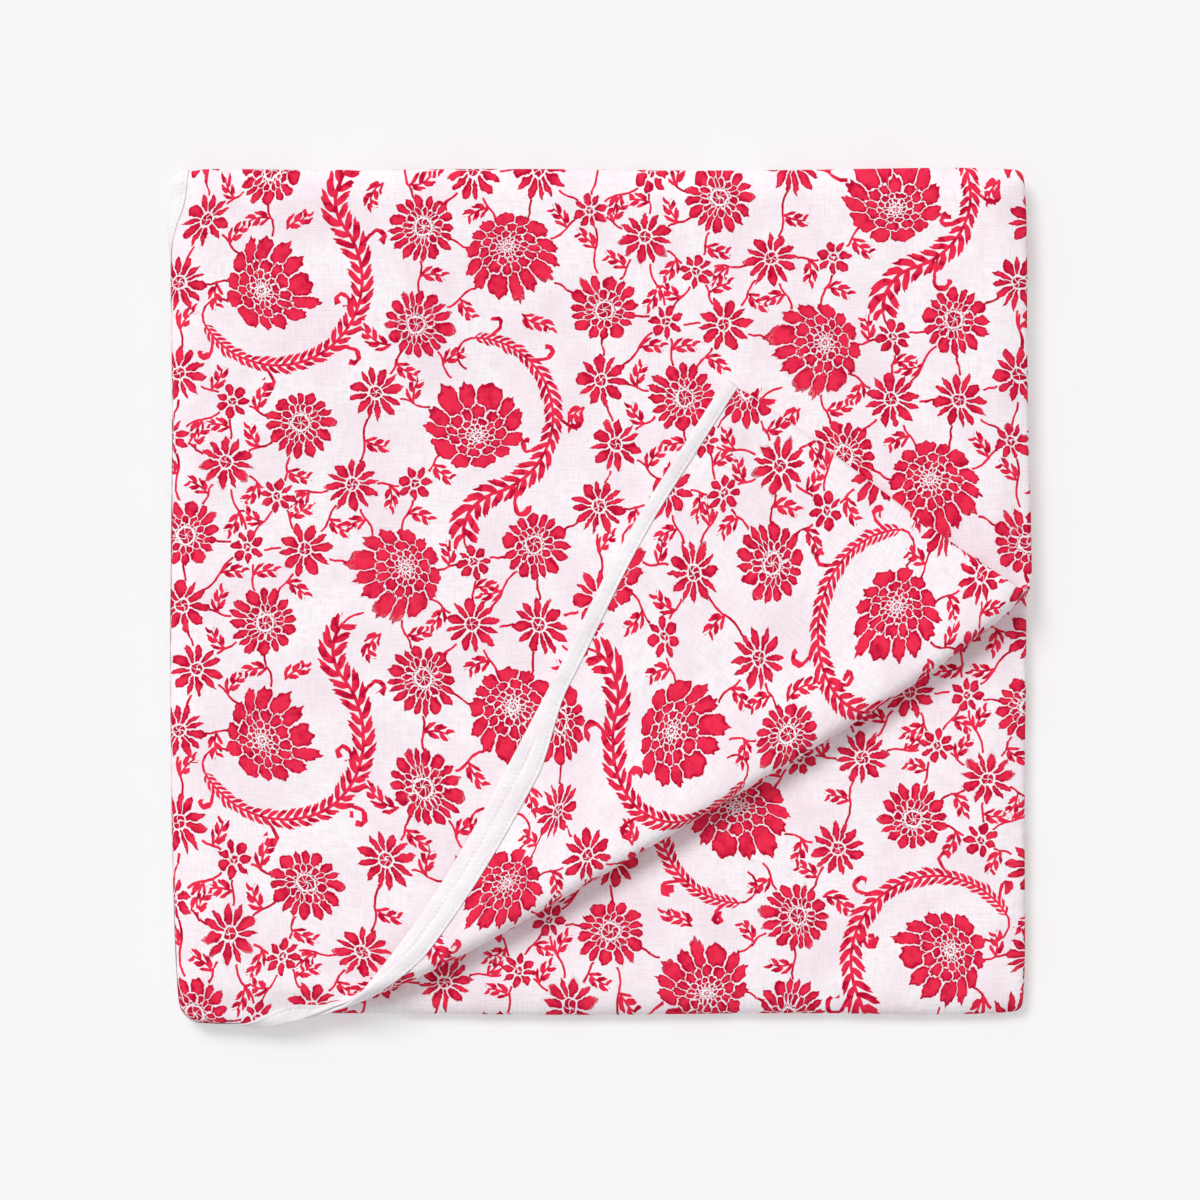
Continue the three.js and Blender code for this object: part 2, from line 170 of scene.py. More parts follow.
# A kind of flower: radius, ratio of each ring's outer radius to its inner one, how pointed its
# petals are, radius of its middle and how far the middle is off centre, as shares of its radius.
FLOWER_KINDS = {
    "peony": (33.0, 1.58, 0.36, 0.08, 0.36),
    "aster": (23.8, 1.72, 0.46, 0.23, 0.12),
    "daisy": (18.9, 3.40, 0.56, 0.23, 0.06),
    "bud": (12.7, 3.00, 0.58, 0.24, 0.06),
}
# Flowers by kind: across, along, turn in degrees and number of petals.
FLOWERS = {
    "peony": ((208, 36, 120, 13), (78, 88, 190, 12), (101, 177, 20, 14), (29, 257, -60, 13)),
    "aster": (
        (221, 213, 0, 16), (115, 12, 50, 15), (47, 142, 100, 17),
        (153, 153, 200, 15), (198, 100, 250, 16), (46, 197, 300, 18),
    ),
    "daisy": (
        (21, 101, 10, 12), (161, 71, 20, 11), (7, 48, 5, 12), (224, 141, 40, 10),
        (78, 229, 70, 12), (178, 192, 25, 11), (116, 229, 35, 12), (151, 245, 55, 11),
        (151, 35, 15, 13), (153, 109, 65, 10),
    ),
    "bud": (
        (78, 3, 10, 8), (182, 228, 50, 7), (208, 173, 80, 8),
        (190, 143, 20, 7), (146, 208, 60, 8), (44, 49, 60, 7),
    ),
}
# Leaves along a vine: spacing at its start and at its end, reach as a share of the spacing, and
# half width of the stem at its start and at its end.
FERN = (3.4, 9.2, 1.15, 0.6, 1.1)
SPRIG = (7.0, 5.6, 0.85, 0.65, 0.5)
STEM = (9.0, 9.0, 0.0, 0.68, 0.68)
HOOK = (9.0, 9.0, 0.0, 0.65, 1.5)
# Ferns round a flower: its number in the list, the fern's radius, where it starts and how far it
# goes round, in degrees, and the length and bend of the tail that swings away from it.
CURLS = (
    (0, 49, 210, 190, 34, -80),
    (1, 46, 90, -165, 34, 80),
)
# Small hooks that spring from a fern: share of the way along it, side and length.
HOOKS = ((0.05, -1, 22), (0.26, -1, 24), (0.52, -1, 28), (0.66, 1, 24), (0.88, -1, 30))
HOOK_LEAN = 35  # angle between a fern and its hook
HOOK_BENDS = (20, 190)  # bends of the hook's two halves
# Lengths and bends of the thin stem from a fern to its flower, and lengths of the one at its end.
FERN_ROOT = ((16, -95), (10, -60))
FERN_END = (12, 14)
# Leafy sprays: across, along, heading, then length and bend of two arcs.
SPRAYS = (
    (30, 130, 185, 16, -60, 12, 60),
    (106, 148, -60, 12, 60, 8, -60),
    (142, 94, 200, 8, 40, 8, 40),
    (212, 66, 60, 10, -50, 6, 50),
    (24, 224, 200, 10, 50, 8, 50),
    (62, 213, 200, 8, 50, 6, 50),
)
LONGEST_STEM = 20.0  # widest gap between two flowers that a stem crosses
STEM_ROOT = 7.0  # how far inside a flower's outline a stem starts
STEM_BEND = 50  # bend of each half of a stem, in degrees
FERN_CLEAR = 7.0  # room that a stem leaves to a fern
SPRIG_LEAN = 45  # angle between a stem and its sprig
SPRIG_LENGTH = 14
SPRIG_BEND = 40
SPRIG_CHECKS = (6, 11, 17)  # ways along it at which its room is measured
SPRIG_ROOM = -1.5  # least room between it and a flower
VINE_CLAIM = 2.0  # least half width of the cloth that a vine draws on
VINE_SEARCH = 8.0  # how far past that the distance to it is worked out
BLOOM_EDGE = 0.15  # half width of the ink's soft edge on a flower
VINE_EDGE = 0.12  # and on a vine
INK_STRAY = 1.8  # how far the noise moves the ink's outlines each way
FAR = 1e9

# What each attribute of the print says where nothing is printed: places far from any flower and
# past the end of any vine.
NO_PRINT = {
    "bloom": (9, 9, 0),
    "form": (8, 1, 0.5),
    "bloom_size": (10, 0.2, 0),
    "vine": (0, 9, 1),
    "leaf": (5, 0.5, -9),
    "stalk": (9, 0.5, -9),
}

# A flower's place, turn and radius, its number of petals, 1 / ln of its rings' ratio, how pointed
# its petals are, its middle's size and place, and a number of its own.
Flower = namedtuple("Flower", "x y turn radius count rings point middle off seed")

# A circular arc of a vine: the middle of its circle, its signed radius, the angle at its start,
# its own start and length along the vine, the vine's whole length, and its leaves as above.
Arc = namedtuple(
    "Arc", "x y radius angle start length whole pitch end_pitch reach stem end_stem"
)


def ease(value, start, end):
    """Smooth step, 3 s squared less 2 s cubed, of the share s of the way from start to end."""
    share = np.clip((value - start) / (end - start), 0, 1)
    return share * share * (3 - 2 * share)


# ---- Folding ----


def hairpin(travel, height, radius):
    """Half turn: a point "travel" past its start and "height" from its axis goes round the axis at
    its own height by travel / radius, and past the half turn straight back."""
    turn = np.clip(travel / radius, 0, math.pi)
    back = travel - turn * radius
    forward = np.where(travel > 0, height * np.sin(turn) - back, travel)
    return forward, np.where(travel > 0, height * np.cos(turn), height)


def hem_shift(a, b):
    """Shift of the flat cloth in its own plane by its uneven hems: a sum of eased terms that are
    whole at the raw edges and fade out into the cloth."""
    # Both side hems draw in beside the top fold, and the hidden one wanders.
    across = 8 * (ease(b, *BEFORE_FOLD) - ease(b, *AFTER_FOLD)) * ease(-a, 440, 495)
    across = across - 13 * ease(a, 300, 480) * (ease(b, -130, -60) - ease(b, *AFTER_FOLD))
    across = across - (2 + 2 * np.sin(b / 95)) * ease(a, 250, 480)
    # The first hem is long at the left corner and at the tip, and short in two places of the lower
    # half of the cloth.
    along = -CORNER_LENGTH * ease(-a, 422, 471) * ease(-b, 350, 455)
    along = along + 8.5 * ease(a, 187, 237) * (1 - ease(a, 345, 395)) * ease(-b, 430, 465)
    along = along + 4.5 * ease(a, 433, 478) * ease(-b, 400, 465)
    along = along - TIP_LENGTH * (1 - ease(np.abs(a), 70, 190)) * ease(-b, 380, 460)
    # The last hem wanders.
    along = along - (3 + 3 * np.sin(a / 140)) * ease(b, 760, 960)
    return across, along


def draw_in(a, b):
    """How far the layers under the top one are drawn in on the left: a sum of steps eased round the
    top fold, eased across the cloth too."""
    return (2 * ease(b, *BEFORE_FOLD) + 16.5 * ease(b, *AFTER_FOLD)) * ease(-a, 300, 495)


def drop_share(a, b):
    """Share of the overhang's quarter turn: 1 on the left side, eased to none past the top fold and
    at the turned-back corner."""
    along_side = 1 - (2 * ease(b, *BEFORE_FOLD) + ease(b, 14, 50)) / 3
    return along_side * (1 - ease(a, -468, -418))


def overhang(x, y, z, share):
    """Bend over a rounded line: past it a point goes round a circle of the bend's radius plus its
    height, by the distance past the line over that radius, and then straight."""
    out_x = DROP_X - x + DROP_CORNER
    out_y = DROP_Y - y + DROP_CORNER
    corner = np.minimum(out_x, out_y) > 0
    reach = np.where(corner, np.hypot(out_x, out_y), np.maximum(out_x, out_y))
    past = reach - DROP_CORNER
    bent = (past > 0) & (share > 0)
    length = np.where(corner, reach, 1.0)
    way_x = np.where(corner, out_x / length, out_x > out_y)
    way_y = np.where(corner, out_y / length, out_x <= out_y)
    turn = np.minimum(share * math.pi / 2, past / DROP_RADIUS)
    straight = past - turn * DROP_RADIUS
    forward = (DROP_RADIUS + z) * np.sin(turn) + straight * np.cos(turn)
    down = (DROP_RADIUS + z) * np.cos(turn) - DROP_RADIUS - straight * np.sin(turn)
    move = np.where(bent, past - forward, 0.0)
    return x + way_x * move, y + way_y * move, np.where(bent, down, z)


crease_length = float(np.hypot(*(CREASE_RIGHT - CREASE_LEFT)))
crease_run = (CREASE_RIGHT - CREASE_LEFT) / crease_length
crease_reach = np.array([crease_run[1], -crease_run[0]])
crease_start = CREASE_LEFT - (ROLL_INNER + 2 * LAYER + AIR) * crease_reach


def to_crease(x, y):
    """Distances of a point along the crease and past it, as two dot products."""
    dx, dy = x - crease_start[0], y - crease_start[1]
    run = dx * crease_run[0] + dy * crease_run[1]
    return run, dx * crease_reach[0] + dy * crease_reach[1]


corner_run, corner_reach = to_crease(SIDE_X, TURN_Y + BOTTOM - TIP_LENGTH)
tip_run, tip_reach = to_crease(*TIP)
SLANT = (tip_run - corner_run) / corner_reach
SHRINK = -tip_reach / (corner_reach - math.pi * ROLL_MIDDLE)


def turn_back(x, y, z):
    """Roll of the corner over the pad: past the crease a point goes round the roll's axis at its
    own depth, then back over the pad, coming down to it. The roll is pressed to an ellipse, and the
    whole crease bows outwards by one less the fourth power of the distance from its middle."""
    run, reach = to_crease(x, y)
    depth = LAYER / 2 - z
    past = reach > 0
    run = run + np.where(past, SLANT * reach, 0.0)
    turn = np.clip(reach / ROLL_MIDDLE, 0, math.pi)
    back = reach - turn * ROLL_MIDDLE
    settle = (2 * ROLL_INNER - AIR) * ease(back, 0, ROLL_SETTLE)
    around = ROLL_INNER + depth
    z = np.where(past, LAYER / 2 + ROLL_INNER - around * np.cos(turn) - settle, z)
    reach = np.where(past, around * np.sin(turn) - SHRINK * back, reach)
    reach = np.where(reach > 0, ROLL_PRESS * reach, reach)
    place = np.clip(run / crease_length, 0, 1)
    # The bow also makes up for the depth that the pressed roll has lost.
    bow = ROLL_BOW * (1 - (2 * place - 1) ** 4) + (1 - ROLL_PRESS) * (ROLL_INNER + 2 * LAYER)
    reach = reach + bow * ease(reach, *BOW_FADE)
    x = crease_start[0] + run * crease_run[0] + reach * crease_reach[0]
    y = crease_start[1] + run * crease_run[1] + reach * crease_reach[1]
    return x, y, z


def soften(x, y, z):
    """Pad's outline: corners drawn in by a product of high powers, top corners out by a fourth, and
    the height eased down towards the outline."""
    side, end = x / PAD_HALF_WIDTH, y / PAD_HALF_DEPTH
    ears = EARS * side**4 * ease(end, 0.5, 1)
    near = np.maximum(ease(np.abs(side), EDGE_START, 1), ease(np.abs(end), EDGE_START, 1))
    z = UNDERSIDE + (z - UNDERSIDE) * (1 - EDGE_PRESS * near)
    return x - CORNERS * side * end**12, y - CORNERS * end * side**12 + ears, z


def lay(x, y, z, lumps):
    """Unevenness of the laid pad: height times one plus a sum of slow sines in x and y, and the
    sides moved out and in by a slow sine in their height and length."""
    wave = np.sin(x / 31 + 1.3 * np.sin(y / 47)) + np.sin(y / 26 + 1.1 * np.sin(x / 39) + 2.0)
    fine = np.sin(x / 11.5 + y / 17 + 0.7) + np.sin(y / 10.3 - x / 19 + 1.9)
    z = z * (1 + lumps * (0.6 * wave + 0.25 * fine) / 27)
    x = x + 0.5 * np.sin(y / 43 + z / 7) * (x / PAD_HALF_WIDTH) ** 3
    y = y + 0.5 * np.sin(x / 39 + z / 8 + 1) * (y / PAD_HALF_DEPTH) ** 3
    return x, y, z


def fold(a, b, rise, lumps):
    """Carries flat points (across a, along b, height rise over the cloth's middle) through the side
    fold, the top or the bottom fold, the overhang and the turned-back corner, in turn."""
    across, along = hem_shift(a, b)
    sideways, height = hairpin(a + across, rise + SIDE_RADIUS, SIDE_RADIUS)
    x, z, flat_b = SIDE_X + sideways, height - SIDE_RADIUS, b + along
    share = np.where(a < 0, drop_share(a, b), 0.0)
    top_x, top_y, top_z = overhang(x, TURN_Y + flat_b, z, share)
    forward, height = hairpin(top_y - TURN_Y, top_z - TOP_AXIS, TURN_RADIUS)
    upper = (top_x, TURN_Y + forward, height + TOP_AXIS)
    forward, height = hairpin(flat_b - BOTTOM_START, 2 * TOP_AXIS - z - BOTTOM_AXIS, TURN_RADIUS)
    lower = (x, -TURN_Y - forward, height + BOTTOM_AXIS)
    is_upper = flat_b < BOTTOM_START / 2
    x, y, z = (np.where(is_upper, up, low) for up, low in zip(upper, lower))
    x = x + np.where(a < 0, draw_in(a, b), 0.0)
    turned = turn_back(x, y, z)
    # Past the top fold the cloth lies a little further in at the bottom left.
    inset = 5.5 * (1 - ease(x, -225, -150)) * (0.5 - y / (2 * PAD_HALF_DEPTH)) * ease(b, 0, 60)
    laid = (x, y + inset, z)
    x, y, z = (np.where(b < 0, back, flat) for back, flat in zip(turned, laid))
    x, y, z = soften(x, y, z)
    return np.stack(lay(x, y, z - UNDERSIDE, lumps), -1)


# ---- The flat grid ----


def lines(*stops):
    """Rising numbers from the first stop on: each later stop is a pair, the next number to reach
    and the longest step on the way."""
    made = [np.array(stops[:1])]
    for end, step in stops[1:]:
        start = made[-1][-1]
        count = math.ceil((end - start) / step - 1e-6)
        made.append(start + (end - start) * np.arange(1, count + 1) / count)
    return np.concatenate(made)


def even(values):
    """The same lines with one more in the middle of the longest step, where their number of steps
    is odd, because the underside keeps every second line."""
    if len(values) % 2:
        return values
    widest = int(np.argmax(np.diff(values)))
    return np.insert(values, widest + 1, values[widest : widest + 2].mean())


def cloth_lines(cell):
    """Lines across and along: close at the hems and round the folds, "cell" apart in the top
    layer, and wider in the layers that it hides."""
    side = SIDE_TURN / 8
    across = lines(
        LEFT, (LEFT + 22, 2.0), (0.0, cell), (SIDE_TURN, side), (RIGHT - 20, cell), (RIGHT, 2.5)
    )
    turn = END_TURN / 10
    along = lines(
        BOTTOM, (BOTTOM + 24, 2.0), (0.0, 1.12 * cell), (END_TURN, turn),
        (BOTTOM_START, 1.3 * cell), (BOTTOM_END, turn), (TOP - 20, 1.9 * cell), (TOP, 3.4),
    )
    return even(across), even(along)


def past_edge(a, b):
    """How far a flat point lies past the raw edge, less than 0 inside it."""
    return np.maximum(np.maximum(LEFT - a, a - RIGHT), np.maximum(BOTTOM - b, b - TOP))


def half_thickness(a, b):
    """Half of the cloth's thickness, eased down to that of the pressed hem."""
    full = ease(-past_edge(a, b), BIND_COVER, PRESS_SLOPE)
    return CLOTH_EDGE_HALF + (LAYER / 2 - CLOTH_EDGE_HALF) * full


def puckers(a, b):
    """Small ripples that the binding's seam pulls into the cloth beside it: a sine of the way
    along each edge, falling off with the distance in from it."""
    ripple = 0.0
    for inside, way in ((a - LEFT, b), (RIGHT - a, b), (b - BOTTOM, a), (TOP - b, a)):
        strength = ease(inside, 6, 11) * np.exp(-np.maximum(inside - 9, 0) / 12)
        ripple = ripple + strength * np.sin(way / 2.1 + 1.7 * np.sin(way / 13))
    return PUCKER * ripple


def creases(a, b):
    """Soft valleys: less the depth times e to the minus square of the distance from a line, times
    the root of a sine that is 0 at both of its ends."""
    rise = 0.0
    for start_a, start_b, end_a, end_b, depth, width in CREASES:
        run_a, run_b = end_a - start_a, end_b - start_b
        share = ((a - start_a) * run_a + (b - start_b) * run_b) / (run_a**2 + run_b**2)
        share = np.clip(share, 0, 1)
        away = np.hypot(a - start_a - share * run_a, b - start_b - share * run_b)
        rise = rise - depth * np.sin(math.pi * share) ** 0.5 * np.exp(-((away / width) ** 2))
    return rise


def centre_shift(lumps):
    """Move that puts the middle of the folded cloth's outline on the middle of the CAD outline."""
    a, b = np.meshgrid(*cloth_lines(6.0), indexing="ij")
    points = fold(a, b, half_thickness(a, b), lumps).reshape(-1, 3)
    low, high = (np.array(corner) / MM for corner in cad_bounds)
    move = (low + high) / 2 - (points.min(0) + points.max(0)) / 2
    move[2] = 0.0
    return move


# ---- The binding's strip ----


def strip_profile():
    """Section of the strip: (distance out past the raw edge, height over the cloth's middle),
    over the top with its sewn groove, round the edge, under, and back inside it."""
    hollow, inner = CLOTH_EDGE_HALF + CLEAR, -BIND_COVER
    top = np.array([
        (inner, 1.7), (inner + 0.5, 1.93), (inner + 1.3, 1.86), (inner + SEAM, 1.58),
        (inner + 2.9, 1.88), (inner + 3.9, 2.0), (-2.2, 2.03), (-0.7, 2.0), (0.4, 1.78),
        (1.1, 1.2), (BIND_OUT, 0.45),
    ])
    inside = np.array([(inner, hollow), (-3.0, hollow), (CLEAR, hollow)])
    outer = np.concatenate([top, top[::-1] * (1, -1)])
    return np.concatenate([outer, inside * (1, -1), inside[::-1]])


def strip_stations(step):
    """Flat points of the strip, stations by profile, and the stations' way round the quilt. They
    are mitred at the corners: on a side from low to high, a point that lies d in from the edge
    stands at low + d + t (length - 2 d). Stations stand closer where the strip goes round a fold."""
    across = lines(LEFT, (-4.0, step), (SIDE_TURN + 4, 0.9), (RIGHT, step))
    along = lines(
        BOTTOM, (-5.0, step), (19.0, 1.3), (BOTTOM_START - 5, step), (BOTTOM_END + 6, 1.3), (TOP, step)
    )
    across = (across - LEFT) / (RIGHT - LEFT)
    along = (along - BOTTOM) / (TOP - BOTTOM)
    inset = -strip_profile()[None, :, 0]

    def side(low, high, share):
        return low + inset + share[:, None] * (high - low - 2 * inset)

    sides = (
        (side(LEFT, RIGHT, across[:-1]), BOTTOM + inset),
        (RIGHT - inset, side(BOTTOM, TOP, along[:-1])),
        (side(LEFT, RIGHT, across[:0:-1]), TOP - inset),
        (LEFT + inset, side(BOTTOM, TOP, along[:0:-1])),
    )
    sides = [np.broadcast_arrays(*pair) for pair in sides]
    a, b = (np.concatenate([pair[k] for pair in sides]) for k in range(2))
    ridge = np.stack([a[:, STRIP_RIDGE], b[:, STRIP_RIDGE]], 1)
    return a, b, np.r_[0, np.cumsum(np.hypot(*np.diff(ridge, axis=0).T))]


def strip_places(way):
    """Places of each corner of the strip's quads along it, round it and in from its edge. The last
    station and the profile's last point repeat the first, further on."""
    profile = strip_profile()
    closed = np.concatenate([profile, profile[:1]])
    girth = np.r_[0, np.cumsum(np.hypot(*np.diff(closed, axis=0).T))]
    way = np.append(way, way[-1] + STRIP_END)
    grid = np.stack(np.meshgrid(way, girth, indexing="ij"), -1).reshape(-1, 2)
    level = np.broadcast_to(closed[:, 0], (len(way), len(closed))).reshape(-1, 1)
    numbers = np.arange(len(grid)).reshape(len(way), len(closed))
    corners = grid_faces(numbers).reshape(-1, 4)[:, ::-1].ravel()
    return np.concatenate([grid, level], 1)[corners]


# ---- Meshes ----


def grid_faces(index):
    """Quads between the neighbours of a grid of vertex numbers, counterclockwise in (a, b)."""
    return np.stack([index[:-1, :-1], index[1:, :-1], index[1:, 1:], index[:-1, 1:]], -1)


def loop_of(index):
    """Vertex numbers round the border of a grid, starting at its first corner, along a first."""
    return np.concatenate([index[:-1, 0], index[-1, :-1], index[:0:-1, -1], index[0, :0:-1]])


def cloth_faces(front, back):
    """Quads of both sides of the cloth, the front's first, and the rim's triangles, which join each
    pair of the front's edges to one edge of the back. Both sides are grids of vertex numbers."""
    quads = [grid_faces(front).reshape(-1, 4), grid_faces(back)[..., ::-1].reshape(-1, 4)]
    outer, inner = loop_of(front), loop_of(back)
    first, second, third = outer[::2], outer[1::2], np.roll(outer[::2], -1)
    low, high = inner, np.roll(inner, -1)
    rim = [(low, second, first), (low, high, second), (second, high, third)]
    return np.concatenate(quads), np.concatenate([np.stack(corners, 1) for corners in rim])


def new_mesh(name, points, quads, triangles=np.zeros((0, 3), int)):
    """Mesh in metres from points in millimetres, with its quads first, and the object for it."""
    mesh = bpy.data.meshes.new(name)
    mesh.vertices.add(len(points))
    mesh.vertices.foreach_set("co", (points * MM).astype(np.float32).ravel())
    corners = np.concatenate([quads.ravel(), triangles.ravel()])
    mesh.loops.add(len(corners))
    mesh.loops.foreach_set("vertex_index", corners.astype(np.int32))
    starts = np.r_[4 * np.arange(len(quads)), quads.size + 3 * np.arange(len(triangles))]
    mesh.polygons.add(len(starts))
    mesh.polygons.foreach_set("loop_start", starts.astype(np.int32))
    mesh.update(calc_edges=True)
    mesh.shade_smooth()
    piece = bpy.data.objects.new(name, mesh)
    bpy.context.scene.collection.objects.link(piece)
    return piece


def put_map(mesh, name, places):
    """UV map from an (n, 2) array, one row for each face corner."""
    layer = mesh.uv_layers.new(name=name)
    layer.data.foreach_set("uv", places.astype(np.float32).ravel())


def put_vectors(mesh, name, values):
    """Attribute of three numbers on each face corner."""
    layer = mesh.attributes.new(name, "FLOAT_VECTOR", "CORNER")
    layer.data.foreach_set("vector", values.astype(np.float32).ravel())


def cloth_bake_places(flat, front):
    """Places on the cloth's bake map: across in even measure, along with more room for the layers
    that show, and the back, which follows the first "front" points, squeezed into a strip."""
    u = 0.01 + 0.98 * (flat[:, 0] - LEFT) / (RIGHT - LEFT)
    v = np.interp(flat[:, 1], (BOTTOM, 0, BOTTOM_START, TOP), (0.01, 0.44, 0.72, 0.95))
    squeezed = 0.96 + 0.03 * (flat[:, 1] - BOTTOM) / (TOP - BOTTOM)
    v[front:] = squeezed[front:]
    return np.stack([u, v], 1)


def strip_bake_places(places):
    """Places on the strip's bake map: its length cut into rows, each quad whole in its row."""
    length, girth = places[:, :2].max(0)
    start = np.floor(places[:, 0].reshape(-1, 4).min(1) / length * BAKE_ROWS)
    row = np.repeat(np.minimum(start, BAKE_ROWS - 1), 4)
    u = 0.01 + 0.96 * (places[:, 0] / length * BAKE_ROWS - row)
    v = (row + 0.05 + 0.9 * places[:, 1] / girth) / BAKE_ROWS
    return np.stack([u, v], 1)


# ---- The print ----


def flower_rows():
    """The chart's flowers, with the sizes of their kinds."""
    rows = []
    for kind, (radius, ratio, *form) in FLOWER_KINDS.items():
        for x, y, turn, count in FLOWERS[kind]:
            shape = (radius, count, 1 / math.log(ratio), *form)
            rows.append(Flower(x, y, math.radians(turn), *shape, len(rows)))
    return rows


def copies():
    """Shifts to the repeats next to one repeat, and to itself in the middle of the list."""
    return [
        (i * REPEAT_WIDTH, i * REPEAT_HEIGHT / 2 + j * REPEAT_HEIGHT)
        for i in (-1, 0, 1)
        for j in (-2, -1, 0, 1, 2)
    ]


def arc_from(x, y, heading, length, bend, start, whole, leaves):
    """Arc of a vine that starts at (x, y) and turns by its bend over its length."""
    radius = length / math.radians(bend)
    centre_x, centre_y = x - radius * math.sin(heading), y + radius * math.cos(heading)
    angle = math.atan2(y - centre_y, x - centre_x)
    return Arc(centre_x, centre_y, radius, angle, start, length, whole, *leaves)


def arc_point(arc, along):
    """Point and heading on an arc's circle, "along" the vine."""
    turned = arc.angle + (along - arc.start) / arc.radius
    x = arc.x + abs(arc.radius) * math.cos(turned)
    y = arc.y + abs(arc.radius) * math.sin(turned)
    return x, y, math.degrees(turned) + math.copysign(90, arc.radius)


def chain(x, y, heading, turns, leaves):
    """Vine of arcs, each of a length and a bend in degrees, that go on from each other smoothly."""
    arcs, start, whole = [], 0.0, sum(length for length, _ in turns)
    for length, bend in turns:
        arcs.append(arc_from(x, y, math.radians(heading), length, bend, start, whole, leaves))
        start += length
        x, y, heading = arc_point(arcs[-1], start)
    return arcs


def curl_arcs(flowers):
    """Ferns: an arc round the flower and a tail, with a thin stem to the flower and hooks."""
    arcs = []
    for number, radius, start, sweep, tail, bend in CURLS:
        flower = flowers[number]
        angle = math.radians(start)
        side = math.copysign(1, sweep)
        length = radius * math.radians(abs(sweep))
        root = (flower.x + radius * math.cos(angle), flower.y + radius * math.sin(angle))
        fern = chain(*root, start + 90 * side, [(length, sweep), (tail, bend)], FERN)
        arcs += fern
        turns = [(long, turn * side) for long, turn in FERN_ROOT]
        arcs += chain(*root, start - 90 * side, turns, STEM)
        end = arc_point(fern[-1], length + tail)
        arcs += chain(*end, list(zip(FERN_END, (bend / 2, -bend))), STEM)
        for share, out, reach in HOOKS:
            x, y, heading = arc_point(fern[0], share * length)
            turns = [(reach / 2, turn * out * side) for turn in HOOK_BENDS]
            arcs += chain(x, y, heading + HOOK_LEAN * out * side, turns, HOOK)
    return arcs


def apart(points, others):
    """Distances from each point to each of the others."""
    return np.hypot(*(points[:, None] - others).transpose(2, 0, 1))


def stem_arcs(flowers, ferns):
    """Thin stems between near flowers, bent first to one side and then to the other, where no third
    flower or fern is in the way, each with a leafy sprig where there is room for it. About one stem
    in six is left out."""
    arcs = []
    shifts = np.array(copies())
    places = np.array([(flower.x, flower.y) for flower in flowers], float)
    everywhere = (places[:, None] + shifts).reshape(-1, 2)
    radii = np.repeat([flower.radius for flower in flowers], len(shifts))
    fern = np.array([
        arc_point(arc, arc.start + share * arc.length)[:2]
        for arc in ferns if arc.reach > 0 for share in np.linspace(0, 1, 24)
    ])
    fern = (fern[:, None] + shifts).reshape(-1, 2)
    for number, flower in enumerate(flowers):
        away = everywhere - places[number]
        distance = np.hypot(*away.T)
        gap = distance - radii - flower.radius
        for other in np.flatnonzero((gap > -1) & (gap < LONGEST_STEM)):
            if number >= other // len(shifts) or (other * 7 + number * 3) % 6 == 0:
                continue
            way = away[other] / distance[other]
            ends = (flower.radius, distance[other] - radii[other])
            line = places[number] + way * np.linspace(*ends, 7)[:, None]
            clear = apart(line, everywhere) - radii
            itself = number * len(shifts) + len(shifts) // 2
            clear[:, (other, itself)] = FAR
            if clear.min() < 1 or apart(line, fern).min() < FERN_CLEAR:
                continue
            bend = STEM_BEND if (number + other) % 2 else -STEM_BEND
            heading = math.degrees(math.atan2(way[1], way[0]))
            turn = math.radians(STEM_BEND) / 2
            length = (gap[other] + 2 * STEM_ROOT) / 2 * turn / math.sin(turn)
            start = places[number] + way * (flower.radius - STEM_ROOT)
            stem = chain(*start, heading - bend / 2, [(length, bend), (length, -bend)], STEM)
            arcs += stem
            x, y, heading = arc_point(stem[1], length)
            for side in (1, -1) if (number + other) % 3 else (-1, 1):
                turns = [(SPRIG_LENGTH, SPRIG_BEND * side)]
                sprig = chain(x, y, heading + SPRIG_LEAN * side, turns, SPRIG)
                checked = np.array([arc_point(sprig[0], way_on)[:2] for way_on in SPRIG_CHECKS])
                room = apart(checked, everywhere) - radii
                if gap[other] > 3 and room.min() > SPRIG_ROOM:
                    arcs += sprig
                    break
    return arcs


def vine_arcs(flowers):
    """Arcs of all ferns, stems, sprigs and sprays of a repeat."""
    arcs = curl_arcs(flowers)
    arcs += stem_arcs(flowers, arcs)
    for x, y, heading, length, bend, more, back in SPRAYS:
        arcs += chain(x, y, heading, [(length, bend), (more, back)], SPRIG)
    return arcs


def in_repeat(middles):
    """Shift that brings each point into the first repeat."""
    column = np.floor(middles[:, 0] / REPEAT_WIDTH)
    along = middles[:, 1] - column * REPEAT_HEIGHT / 2
    row = np.floor(along / REPEAT_HEIGHT)
    return -np.stack([column * REPEAT_WIDTH, (column / 2 + row) * REPEAT_HEIGHT], 1)


def along_arc(points, arc):
    """Place of points beside an arc: s along the vine is the radius times the angle gone round, t
    to its left is the radius less the distance from the circle's middle."""
    x, y = points[..., 0] - arc.x, points[..., 1] - arc.y
    sign, size = np.sign(arc.radius), np.abs(arc.radius)
    sweep = arc.length / size
    turned = sign * (np.arctan2(y, x) - arc.angle) - sweep / 2 + math.pi
    turned = np.mod(turned, FULL_TURN) - math.pi + sweep / 2
    return arc.start + size * turned, arc.radius - sign * np.hypot(x, y)


def flower_gap(points, flower):
    """Distance from each point to a flower's outline, less than 0 inside it."""
    return np.hypot(*(points - (flower.x, flower.y)).T) - flower.radius


